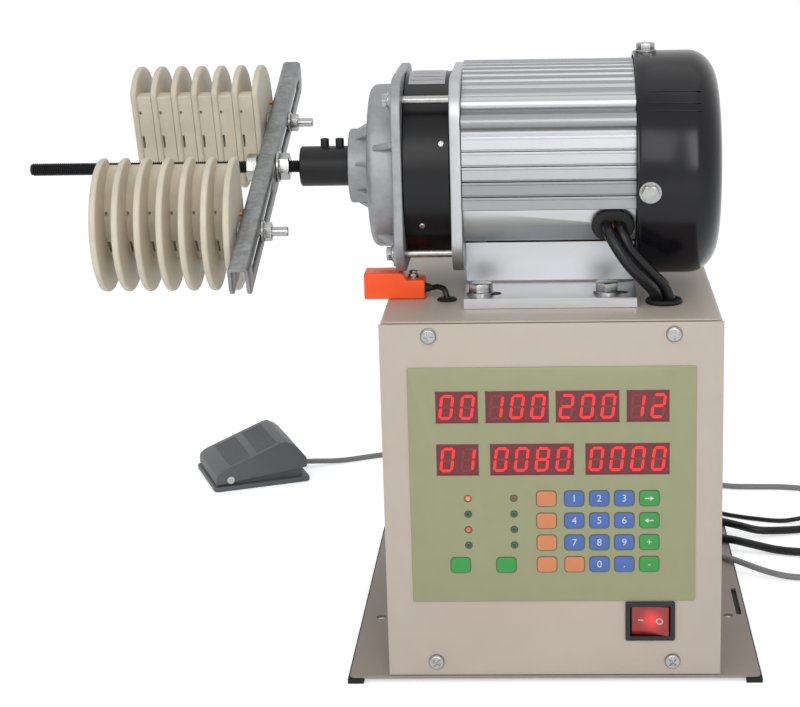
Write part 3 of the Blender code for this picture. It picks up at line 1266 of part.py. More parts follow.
def makePedal(greyPlastic, spring, black):
    inset = PEDAL_UPSTAND_INSET
    plate = slabZ([roundedLoop(PEDAL_LENGTH, PEDAL_WIDTH, PEDAL_EDGE, 2)], 0, PEDAL_BASE)
    plate.transform(pedalPlace(PEDAL_LENGTH / 2, PEDAL_WIDTH / 2, 0))
    wallLength = PEDAL_LENGTH - 2 * inset
    wallWidth = PEDAL_WIDTH - 2 * inset
    upstand = slabZ([rectLoop(wallLength, wallWidth),
                     rectLoop(wallLength - 2 * PEDAL_WALL, wallWidth - 2 * PEDAL_WALL)],
                    PEDAL_BASE / 2, PEDAL_UPSTAND)
    upstand.transform(pedalPlace(PEDAL_LENGTH / 2, PEDAL_WIDTH / 2, 0))
    glandMiddle = onPedal(PEDAL_LENGTH - inset + PEDAL_GLAND_LENGTH / 2 - PEDAL_WALL / 2,
                          PEDAL_WIDTH / 2, PEDAL_GLAND_RADIUS + PEDAL_BASE / 2)
    gland = rod(PEDAL_GLAND_RADIUS, PEDAL_GLAND_LENGTH, axesFromZ(glandMiddle, pedalAlong), ROUND_SMALL)
    pivot = onPedal(PEDAL_PIN_ALONG, PEDAL_WIDTH / 2, PEDAL_PIN_HEIGHT)
    length = PEDAL_WIDTH - 2 * COVER_INSET + 2 * GAP
    pin = rod(PEDAL_PIN_RADIUS, length + PEDAL_PIN_HEAD_LENGTH, axesFromZ(pivot, pedalAcross), ROUND_SMALL)
    heads = [rod(PEDAL_PIN_HEAD, PEDAL_PIN_HEAD_LENGTH,
                 axesFromZ(pivot + pedalAcross * side * (length + PEDAL_PIN_HEAD_LENGTH) / 2, pedalAcross),
                 ROUND_SMALL) for side in (-1, 1)]
    addPart("pedal_base", joined(plate, upstand, gland, pin, *heads), greyPlastic)

    skin = pedalSide(COVER_INSET, PEDAL_WIDTH - COVER_INSET, [coverSection(0)])
    hollow = pedalSide(COVER_INSET + PEDAL_WALL, PEDAL_WIDTH - COVER_INSET - PEDAL_WALL,
                       [coverSection(PEDAL_WALL)])
    notchHigh = 2 * PEDAL_GLAND_RADIUS + PEDAL_BASE / 2 + PEDAL_LENGTH * math.sin(PEDAL_TRAVEL) + 2 * GAP
    notch = block((3 * PEDAL_WALL, 2 * PEDAL_GLAND_RADIUS + 4 * GAP, notchHigh),
                  pedalPlace(PEDAL_LENGTH - COVER_INSET - PEDAL_WALL / 2, PEDAL_WIDTH / 2, notchHigh / 2))
    pinHole = rod(PEDAL_PIN_RADIUS + GAP, PEDAL_WIDTH + 2 * OVERRUN,
                  axesFromZ(pivot, pedalAcross), ROUND_SMALL)
    switchTop = PEDAL_BASE + GAP + MICRO_SIZE[2]
    presserFoot = switchTop + (MICRO_ALONG - PEDAL_PIN_ALONG) * math.sin(PEDAL_TRAVEL) + 2 * GAP
    presserHeight = COVER_HIGH - COVER_NOSE - PEDAL_WALL - presserFoot
    presser = block((PRESSER_WIDTH, PRESSER_WIDTH, presserHeight),
                    pedalPlace(MICRO_ALONG, PEDAL_WIDTH / 2, presserFoot + presserHeight / 2))
    cover = joined(cutBy(skin, hollow, pinHole, notch), presser)
    addPart("pedal_cover", cover, greyPlastic, pivot)

    low = PEDAL_BASE + GAP + SPRING_WIRE
    slope = (COVER_HIGH - COVER_LOW) / (COVER_CREST - COVER_INSET - COVER_NOSE)
    roof = COVER_HIGH - (COVER_CREST - SPRING_ALONG) * slope - PEDAL_WALL
    high = roof - SPRING_RADIUS * slope - SPRING_WIRE - 2 * GAP
    points = []
    steps = SPRING_TURNS * SPRING_STEPS
    for step in range(steps + 1):
        angle = 2 * math.pi * step / SPRING_STEPS
        height = low + (high - low) * step / steps
        centre = onPedal(SPRING_ALONG, PEDAL_WIDTH / 2, height)
        points.append(centre + Vector((SPRING_RADIUS * math.cos(angle), SPRING_RADIUS * math.sin(angle), 0)))
    addPart("pedal_spring", tube(points, SPRING_WIRE, 1), spring)

    micro = block(MICRO_SIZE, pedalPlace(MICRO_ALONG, PEDAL_WIDTH / 2, PEDAL_BASE + GAP + MICRO_SIZE[2] / 2))
    addPart("pedal_switch", micro, black)


# Cords

def smoothRoute(points, spacing):
    """Points evenly spaced along a smooth curve through the route's own points."""
    points = [Vector(p) for p in points]
    ends = [points[0] * 2 - points[1]] + points + [points[-1] * 2 - points[-2]]
    fine = []
    for i in range(1, len(ends) - 2):
        a, b, c, d = ends[i - 1:i + 3]
        for step in range(16):
            t = step / 16
            fine.append(((b * 2) + (c - a) * t + (a * 2 - b * 5 + c * 4 - d) * t ** 2
                         + (b * 3 - a - c * 3 + d) * t ** 3) / 2)
    fine.append(points[-1])
    total = sum((q - p).length for p, q in zip(fine, fine[1:]))
    count = max(2, round(total / spacing))
    result = [fine[0]]
    walked = 0
    target = total / count
    for p, q in zip(fine, fine[1:]):
        step = (q - p).length
        while walked + step >= target and len(result) < count:
            result.append(p.lerp(q, (target - walked) / step))
            target += total / count
        walked += step
    result.append(fine[-1])
    return result


def routeLength(points):
    return sum((Vector(q) - Vector(p)).length for p, q in zip(points, points[1:]))


def pedalCordRoute():
    """The pedal's cord: behind the cabinet, out to the right, round, and back to its gland."""
    r = PEDAL_CORD_RADIUS
    ground = floorZ + r
    onPlate = plateTop + r + GAP
    height = boxFoot + GLAND_HEIGHT
    start = onPedal(PEDAL_LENGTH - PEDAL_UPSTAND_INSET + PEDAL_GLAND_LENGTH - PEDAL_WALL / 2 + GAP,
                    PEDAL_WIDTH / 2, PEDAL_GLAND_RADIUS + PEDAL_BASE / 2)
    first = start + pedalAlong * 0.014
    return [start, Vector((first.x, first.y, floorZ + 0.0045)),
            (-0.178, 0.3025, ground), (-0.1447, 0.317, ground), (-0.090, 0.335, ground),
            (-0.030, 0.340, ground), (0.025, 0.322, ground), (0.072, 0.285, ground),
            (0.108, 0.248, ground), (0.136, 0.2300, ground), (0.1557, 0.2267, ground),
            (0.190, 0.224, ground), (0.226, 0.208, ground), (0.253, 0.176, ground),
            (0.262, 0.132, ground), (0.256, 0.088, ground), (0.233, 0.052, ground),
            (0.200, 0.033, ground), (0.170, 0.0300, ground), (0.1486, 0.0370, ground + 0.0022),
            (0.1340, 0.0460, onPlate), (0.1225, 0.0570, onPlate), (0.1130, 0.0710, onPlate),
            (0.1050, 0.0870, onPlate), (0.0965, 0.1010, onPlate + 0.0020), (0.0850, 0.1060, onPlate + 0.0090),
            (0.0752, 0.0980, onPlate + 0.0185), (0.0705, 0.0850, height - 0.0010),
            (GLAND_PLACES[2], 0.0780, height), (GLAND_PLACES[2], glandTipY + GAP, height)]


def mainsCordRoute():
    """The mains lead: out to the right, round, and back behind the cabinet to its coil."""
    r = MAINS_CORD_RADIUS
    ground = floorZ + r
    onPlate = plateTop + r + GAP
    height = boxFoot + GLAND_HEIGHT
    return [(GLAND_PLACES[1], glandTipY + GAP, height), (GLAND_PLACES[1], 0.0840, height),
            (0.0355, 0.0940, height - 0.0030), (0.0375, 0.1060, onPlate + 0.0120),
            (0.0430, 0.1190, onPlate + 0.0035), (0.0540, 0.1290, onPlate), (0.0700, 0.1325, onPlate),
            (0.0860, 0.1280, onPlate), (0.0990, 0.1180, onPlate), (0.1115, 0.1035, onPlate),
            (0.1251, 0.0925, onPlate), (0.1370, 0.0885, onPlate - 0.0008), (0.1507, 0.0850, ground + 0.0018),
            (0.1660, 0.0805, ground), (0.1820, 0.0770, ground), (0.2020, 0.0770, ground),
            (0.2190, 0.0880, ground), (0.2250, 0.1040, ground), (0.2170, 0.1205, ground),
            (0.1980, 0.1275, ground), (0.1750, 0.1225, ground + 0.0003), (0.1518, 0.1180, ground + 0.0022),
            (0.1370, 0.1225, onPlate - 0.0004), (0.1240, 0.1310, onPlate),
            (0.1090, 0.1400, onPlate), (0.0955, 0.1490, onPlate - 0.0010), (0.0830, 0.1610, ground + 0.0014),
            (0.0755, 0.1760, ground), (0.0715, 0.1960, ground),
            (COIL_CENTRE[0] + COIL_OUTER, COIL_CENTRE[1], ground)]


def leadRoute():
    """The thin accessory lead: over the mains lead, out to the right, to its connector."""
    r = LEAD_RADIUS
    ground = floorZ + r
    onPlate = plateTop + r + GAP
    height = boxFoot + GLAND_HEIGHT
    over = floorZ + 2 * MAINS_CORD_RADIUS + 2 * r + 0.0012
    return [(GLAND_PLACES[0], glandTipY + GAP, height), (GLAND_PLACES[0], 0.0790, height),
            (0.0010, 0.0900, height - 0.0040), (0.0040, 0.1020, onPlate + 0.0115),
            (0.0100, 0.1150, onPlate + 0.0030), (0.0200, 0.1290, onPlate), (0.0340, 0.1400, onPlate),
            (0.0520, 0.1490, over - 0.0020), (0.0720, 0.1590, over), (0.0920, 0.1640, over),
            (0.1120, 0.1660, over - 0.0040), (0.1310, 0.1636, ground), (0.1528, 0.1529, ground),
            (0.1750, 0.1475, ground), (0.1960, 0.1470, ground + CONNECTOR_RADIUS - r)]


def coilPoints():
    """The coil: in along the floor layer, up in a quarter turn, and out again on top."""
    d = 2 * MAINS_CORD_RADIUS
    low = floorZ + MAINS_CORD_RADIUS
    climb = d + COIL_CLEARANCE
    perTurn = (COIL_OUTER - COIL_INNER) / COIL_TURNS_PER_LAYER
    points = []
    total = COIL_TURNS_PER_LAYER * COIL_STEPS
    for step in range(total + 1):
        points.append((step, COIL_OUTER - perTurn * step / COIL_STEPS, low))
    climbSteps = COIL_STEPS // 4
    for step in range(1, climbSteps + 1):
        points.append((total + step, COIL_INNER, low + climb * step / climbSteps))
    for step in range(1, total + 1):
        points.append((total + climbSteps + step, COIL_INNER + perTurn * step / COIL_STEPS, low + climb))
    result = []
    for step, radius, z in points:
        angle = 2 * math.pi * step / COIL_STEPS
        result.append(Vector((COIL_CENTRE[0] + radius * math.cos(angle),
                              COIL_CENTRE[1] + radius * math.sin(angle), z)))
    return result


def coilTail(points):
    """The tail leaves the last turn straight ahead and comes down to the floor."""
    ahead = (points[-1] - points[-2]).normalized()
    low = floorZ + MAINS_CORD_RADIUS
    start = points[-1]
    tail = []
    for step in range(1, COIL_TAIL_STEPS + 1):
        share = step / COIL_TAIL_STEPS
        ease = share * share * (3 - 2 * share)
        place = start + ahead * COIL_TAIL * share
        place.z = start.z + (low - start.z) * ease
        tail.append(place)
    flatAhead = Vector((ahead.x, ahead.y, 0)).normalized()
    tail.append(tail[-1] + flatAhead * 2 * MAINS_CORD_RADIUS)
    return tail, flatAhead


def leastGap(points, radius, skip):
    """The least gap between two stretches of a tube that aren't neighbours along it."""
    least = math.inf
    for i, p in enumerate(points):
        for q in points[i + skip:]:
            least = min(least, (p - q).length)
    return least - 2 * radius


def makePlug(tip, ahead, black):
    """A flat two-blade plug whose tapered grip meets the cord's end."""
    half = PLUG_LENGTH / 2
    narrow = PLUG_WIDTH / 2 * PLUG_TAPER_SHARE
    loop = [(-half, -narrow), (0, -PLUG_WIDTH / 2), (half, -PLUG_WIDTH / 2), (half, PLUG_WIDTH / 2),
            (0, PLUG_WIDTH / 2), (-half, narrow)]
    turn = Matrix.Rotation(math.atan2(ahead.y, ahead.x), 4, "Z")
    middle = Vector((tip.x, tip.y, floorZ + GAP + PLUG_HEIGHT / 2)) + ahead * (half + GAP)
    place = Matrix.Translation(middle) @ turn
    body = flat([loop], PLUG_HEIGHT, place)
    blades = []
    for side in (-1, 1):
        reach = PLUG_BLADE_LENGTH + OVERRUN
        offset = Matrix.Translation((half + reach / 2 - OVERRUN, side * PLUG_BLADE_SPACING / 2, 0))
        blades.append(block((reach, PLUG_BLADE_THICKNESS, PLUG_BLADE_WIDTH), place @ offset))
    addPart("mains_plug", joined(body, *blades), black)


def makeCords(greyRubber, blackRubber, black):
    pedalRoute = smoothRoute(pedalCordRoute(), CORD_STEP_DIAMETERS * 2 * PEDAL_CORD_RADIUS)
    addPart("pedal_cord", tube(pedalRoute, PEDAL_CORD_RADIUS, 2), greyRubber)
    mainsRoute = smoothRoute(mainsCordRoute(), MAINS_STEP_DIAMETERS * 2 * MAINS_CORD_RADIUS)
    addPart("mains_cord", tube(mainsRoute, MAINS_CORD_RADIUS, 2), blackRubber)
    lead = smoothRoute(leadRoute(), CORD_STEP_DIAMETERS * 2 * LEAD_RADIUS)
    addPart("accessory_lead", tube(lead, LEAD_RADIUS, 2), blackRubber)

    coil = coilPoints()
    shift = Vector((0, 2 * MAINS_CORD_RADIUS, 0))
    turns = [coil[0] + Vector((0, GAP, 0))] + [p + shift for p in coil]
    tail, ahead = coilTail(turns)
    least = leastGap(turns + tail, MAINS_CORD_RADIUS, COIL_STEPS // 2)
    print("coil: least gap to itself %.2f mm" % (1000 * least))
    addPart("mains_coil", tube(turns + tail, MAINS_CORD_RADIUS, 1), blackRubber)
    makePlug(tail[-1], ahead, black)

    end = lead[-1]
    last = lead[-1] - lead[-2]
    last.z = 0
    last.normalize()
    grip = CONNECTOR_LENGTH - CONNECTOR_COLLAR
    profile = [(0, GAP), (CONNECTOR_NECK_RADIUS, GAP), (CONNECTOR_GRIP_RADIUS, grip / 3),
               (CONNECTOR_GRIP_RADIUS, grip), (CONNECTOR_RADIUS, grip), (CONNECTOR_RADIUS, CONNECTOR_LENGTH),
               (0, CONNECTOR_LENGTH)]
    addPart("lead_connector", turned(list(reversed(profile)), axesFromZ(end, last), ROUND_SMALL), black)

    print("pedal cord %.3f m, mains cord %.3f m, accessory lead %.3f m" % (
        routeLength(pedalRoute), routeLength(mainsRoute) + routeLength(turns + tail), routeLength(lead)))


def build():
    global partsCollection
    clearScene()
    partsCollection = bpy.data.collections.new("coil_winding_machine")
    bpy.context.scene.collection.children.link(partsCollection)

    beige = makeMaterial("beige_paint", (0.52, 0.45, 0.38), 0.5)
    taupe = makeMaterial("plate_paint", (0.42, 0.36, 0.30), 0.5)
    rubber = makeMaterial("black_rubber", (0.02, 0.02, 0.02), 0.8)
    zinc = makeMaterial("zinc", (0.62, 0.62, 0.62), 0.35, 1.0)
    steel = makeMaterial("steel", (0.55, 0.55, 0.56), 0.3, 1.0)
    aluminium = makeMaterial("aluminium", (0.75, 0.76, 0.77), 0.35, 1.0)
    cast = makeMaterial("cast_aluminium", (0.62, 0.63, 0.64), 0.5, 1.0)
    black = makeMaterial("black_plastic", (0.015, 0.015, 0.015), 0.4)
    gloss = makeMaterial("gloss_black", (0.01, 0.01, 0.01), 0.12)
    blackSteel = makeMaterial("black_steel", (0.03, 0.03, 0.03), 0.45, 0.6)
    green = makeMaterial("overlay_green", (0.34, 0.36, 0.20), 0.5)
    board = makeMaterial("board_green", (0.02, 0.20, 0.08), 0.5)
    red = makeMaterial("switch_red", (0.35, 0.01, 0.01), 0.2)
    copper = makeMaterial("copper", (0.72, 0.35, 0.18), 0.35, 1.0)
    nylon = makeMaterial("cream_nylon", (0.78, 0.70, 0.54), 0.55)
    orange = makeMaterial("orange_plastic", (0.95, 0.16, 0.03), 0.4)
    grey = makeMaterial("pedal_grey", (0.13, 0.135, 0.14), 0.55)
    greyCord = makeMaterial("grey_rubber", (0.25, 0.25, 0.25), 0.6)

    makeBase(taupe, rubber)
    makeCover(beige)
    makePanels(beige)
    makeKeypad(green)
    makeBoard(board)
    makePower(aluminium, zinc)
    makeSwitch(black, red)
    makeMotorBody(aluminium)
    makeGearHousing(cast, black)
    makeRearCap(gloss)
    makeMotorInside(steel, copper)
    makeGears(steel, steel)
    makeSpindle(blackSteel)
    makeArm(zinc)
    makeFormers("front", FRONT_CENTRE, FRONT_PIN_OUTWARD, nylon, zinc)
    makeFormers("rear", REAR_CENTRE, REAR_PIN_OUTWARD, nylon, zinc)
    makeSensor(orange, rubber)
    makeMotorCables(rubber)
    makePedal(grey, steel, black)
    makeCords(greyCord, rubber, black)
    for mesh in [m for m in bpy.data.meshes if not m.users]:
        bpy.data.meshes.remove(mesh)
    total = 0
    for obj in sorted(partsCollection.objects, key=lambda o: o.name):
        obj.data.calc_loop_triangles()
        total += len(obj.data.loop_triangles)
        print("%-24s %6d" % (obj.name, len(obj.data.loop_triangles)))
    print("triangles", total, "objects", len(partsCollection.objects))


build()
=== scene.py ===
import math
import bpy
from mathutils import Matrix, Vector


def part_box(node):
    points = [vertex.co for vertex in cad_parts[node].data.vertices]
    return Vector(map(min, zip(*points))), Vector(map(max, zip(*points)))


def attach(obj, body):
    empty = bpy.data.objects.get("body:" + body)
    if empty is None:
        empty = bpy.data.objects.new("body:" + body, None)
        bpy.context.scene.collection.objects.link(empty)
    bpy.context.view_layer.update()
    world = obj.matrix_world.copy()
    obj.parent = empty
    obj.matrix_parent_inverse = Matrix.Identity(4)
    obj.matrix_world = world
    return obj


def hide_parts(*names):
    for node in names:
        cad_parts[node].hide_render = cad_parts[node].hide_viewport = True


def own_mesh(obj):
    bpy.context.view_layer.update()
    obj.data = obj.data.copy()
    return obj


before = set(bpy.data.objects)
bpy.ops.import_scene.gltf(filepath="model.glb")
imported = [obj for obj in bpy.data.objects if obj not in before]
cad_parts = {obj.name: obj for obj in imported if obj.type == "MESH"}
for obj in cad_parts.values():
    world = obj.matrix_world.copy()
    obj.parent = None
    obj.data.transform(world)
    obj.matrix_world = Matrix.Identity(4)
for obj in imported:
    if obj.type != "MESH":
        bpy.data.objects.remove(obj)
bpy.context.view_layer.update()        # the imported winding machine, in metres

# Levels that several pieces share, all in metres
plateTop = 0.002
floorZ = -0.0028
panelFront = -0.1395
coverFront = -0.1377
coverBack = 0.0573
rearFace = 0.0591
boxFoot = 0.0023
boxTop = 0.2298
axisY = -0.0395
axisZ = 0.3078
armTilt = math.radians(18)
quarterTurn = math.pi / 2
hair = 0.0003            # the usual clearance between two pieces


# Placing and shaping tools

def choose(obj):
    bpy.ops.object.select_all(action="DESELECT")
    obj.select_set(True)
    bpy.context.view_layer.objects.active = obj


def alongX(x, y=axisY, z=axisZ, tilt=0):
    # own x, y and z run along Y, Z and X
    turn = Matrix(((0, 0, 1), (1, 0, 0), (0, 1, 0))).to_4x4()
    return Matrix.Translation((x, y, z)) @ spun(tilt, "X") @ turn


def alongY(x, y, z):
    # own x, y and z run along X, Z and out of the front
    turn = Matrix(((1, 0, 0), (0, 0, -1), (0, 1, 0))).to_4x4()
    return Matrix.Translation((x, y, z)) @ turn


def upFrom(x, y, z):
    return Matrix.Translation((x, y, z))


def spun(angle, axis="Z"):
    return Matrix.Rotation(angle, 4, axis)


def facing(point, direction):
    turn = Vector(direction).to_track_quat("Z", "Y").to_matrix().to_4x4()
    return Matrix.Translation(point) @ turn


def useModifier(obj, kind, **values):
    choose(obj)
    step = obj.modifiers.new(kind.lower(), kind)
    for key, value in values.items():
        setattr(step, key, value)
    bpy.ops.object.modifier_apply(modifier=step.name)
    return obj


def roundEdges(obj, width, segments=3, angle=35):
    return useModifier(obj, "BEVEL", width=width, segments=segments, limit_method="ANGLE",
                       angle_limit=math.radians(angle), use_clamp_overlap=True)


def dropIt(*objs):
    for obj in objs:
        bpy.data.objects.remove(obj, do_unlink=True)


def cutWith(obj, *tools, operation="DIFFERENCE"):
    for tool in tools:
        useModifier(obj, "BOOLEAN", operation=operation, solver="EXACT", object=tool)
        dropIt(tool)
    return obj


def joinAll(obj, *others):
    choose(obj)
    for other in others:
        other.select_set(True)
    bpy.ops.object.join()
    return obj


def moved(obj, move):
    obj.data.transform(move)
    return obj


def copyOf(obj, move):
    new = obj.copy()
    new.data = obj.data.copy()
    bpy.context.scene.collection.objects.link(new)
    return moved(new, move)


def outlineOf(points, fill):
    # a circle with as many corners, each then set to its own place
    bpy.ops.object.select_all(action="DESELECT")
    bpy.ops.mesh.primitive_circle_add(vertices=len(points), radius=1, fill_type=fill, location=(0, 0, 0))
    obj = bpy.context.active_object
    for vertex, point in zip(obj.data.vertices, points):
        vertex.co = point
    return obj


def editAll():
    bpy.ops.object.mode_set(mode="EDIT")
    bpy.ops.mesh.select_all(action="SELECT")


def closeEdit():
    # faces outwards, and back to object mode
    bpy.ops.mesh.select_all(action="SELECT")
    bpy.ops.mesh.normals_make_consistent(inside=False)
    bpy.ops.object.mode_set(mode="OBJECT")


def slab(loop, thickness, place, edge=0, segments=3):
    # an outline in the place's own x and y, thick along its z and centred on it
    obj = outlineOf([(x, y, -thickness / 2) for x, y in loop], "NGON")
    editAll()
    bpy.ops.mesh.extrude_region_move(TRANSFORM_OT_translate={"value": (0, 0, thickness)})
    closeEdit()
    if edge:
        roundEdges(obj, edge, segments)
    return moved(obj, place)


def slabX(loop, left, right, y=axisY, z=axisZ, tilt=0, edge=0, segments=3):
    return slab(loop, right - left, alongX((left + right) / 2, y, z, tilt), edge, segments)


def slabY(loop, near, far, x=0, z=0, edge=0, segments=3):
    return slab(loop, far - near, alongY(x, (near + far) / 2, z), edge, segments)


def slabZ(loop, low, high, x=0, y=0, edge=0, segments=3):
    return slab(loop, high - low, upFrom(x, y, (low + high) / 2), edge, segments)


def brick(size, place, edge=0, segments=3):
    bpy.ops.object.select_all(action="DESELECT")
    bpy.ops.mesh.primitive_cube_add(size=1, location=(0, 0, 0))
    obj = moved(bpy.context.active_object, Matrix.Diagonal((*size, 1)))
    if edge:
        roundEdges(obj, edge, segments)
    return moved(obj, place)


def lathe(profile, place, steps=64):
    # a closed profile of (radius, height) points turned about the place's own z
    obj = outlineOf([(radius, 0, height) for radius, height in profile], "NOTHING")
    editAll()
    bpy.ops.mesh.spin(steps=steps, angle=2 * math.pi, center=(0, 0, 0), axis=(0, 0, 1))
    bpy.ops.mesh.select_all(action="SELECT")
    bpy.ops.mesh.remove_doubles(threshold=0.000004)
    bpy.ops.mesh.delete_loose(use_verts=True, use_edges=True, use_faces=False)
    closeEdit()
    return moved(obj, place)


def latheX(profile, steps):
    # (x, radius) points turned about the spindle's axis
    return lathe([(radius, x) for x, radius in profile], alongX(0), steps)


def disc(radius, low, high, place, steps=32, bore=0):
    # a plain round pin, drill or ring from low to high
    return lathe([(bore, low), (radius, low), (radius, high), (bore, high)], place, steps)


def peg(radius, length, place, edge=0.0003):
    # a round pin that stands on the place, with its rim rounded
    profile = [(0, 0), (radius, 0), (radius, length - edge)]
    profile += [(radius - edge * (1 - math.cos(a)), length - edge * (1 - math.sin(a)))
                for a in (math.pi / 6, math.pi / 3, quarterTurn)]
    return lathe(profile + [(0, length)], place, 32)


def tubeAlong(name, points, radius, sides=4):
    # a round cable as a curve of one open spline
    curve = bpy.data.curves.new(name, "CURVE")
    curve.dimensions = "3D"
    curve.bevel_depth = radius
    curve.bevel_resolution = sides
    curve.use_fill_caps = True
    spline = curve.splines.new("POLY")
    spline.points.add(len(points) - 1)
    for point, co in zip(spline.points, points):
        point.co = (*co, 1)
    spline.use_smooth = True
    obj = bpy.data.objects.new(name, curve)
    bpy.context.scene.collection.objects.link(obj)
    return obj


def asMesh(obj):
    choose(obj)
    bpy.ops.object.convert(target="MESH")
    return bpy.context.active_object


def finished(obj, name, body, finish, replaced=(), angle=35):
    obj.name = name
    obj.data.name = name
    obj.data.materials.clear()
    obj.data.materials.append(finish)
    if obj.type == "MESH":
        choose(obj)
        bpy.ops.object.shade_smooth_by_angle(angle=math.radians(angle))
    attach(obj, body)
    if replaced:
        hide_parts(*replaced)
    return obj


# Outlines

def rectLoop(width, height):
    return [(width / 2 * sx, height / 2 * sy) for sx, sy in ((-1, -1), (1, -1), (1, 1), (-1, 1))]


def ringLoop(radius, sides):
    return [(radius * math.cos(2 * math.pi * i / sides), radius * math.sin(2 * math.pi * i / sides))
            for i in range(sides)]


def arc(x, y, wide, start, sweep, steps, first=0, high=None):
    # points round x and y, on an oval where high differs from wide
    high = wide if high is None else high
    angles = [start + sweep * step / steps for step in range(first, steps + 1)]
    return [(x + wide * math.cos(a), y + high * math.sin(a)) for a in angles]


def roundedLoop(width, height, corner, steps=6):
    points = []
    for quarter, (sx, sy) in enumerate(((1, 1), (-1, 1), (-1, -1), (1, -1))):
        points += arc(sx * (width / 2 - corner), sy * (height / 2 - corner), corner, quarterTurn * quarter,
                      quarterTurn, steps)
    return points


def slotLoop(length, width, x=0, y=0):
    straight = (length - width) / 2
    return (arc(x + straight, y, width / 2, -quarterTurn, math.pi, 10)
            + arc(x - straight, y, width / 2, quarterTurn, math.pi, 10))


# Finishes

def addNode(tree, kind, **values):
    new = tree.nodes.new(kind)
    for key, value in values.items():
        if hasattr(new, key):
            setattr(new, key, value)
        else:
            new.inputs[key].default_value = value
    return new


def multiplied(tree, colour, factor=1.0, by=(1, 1, 1, 1)):
    # a mix node that darkens or lightens a colour
    mix = addNode(tree, "ShaderNodeMix", data_type="RGBA", blend_type="MULTIPLY")
    mix.inputs["Factor"].default_value = factor
    mix.inputs["B"].default_value = by
    tree.links.new(colour, mix.inputs["A"])
    return mix


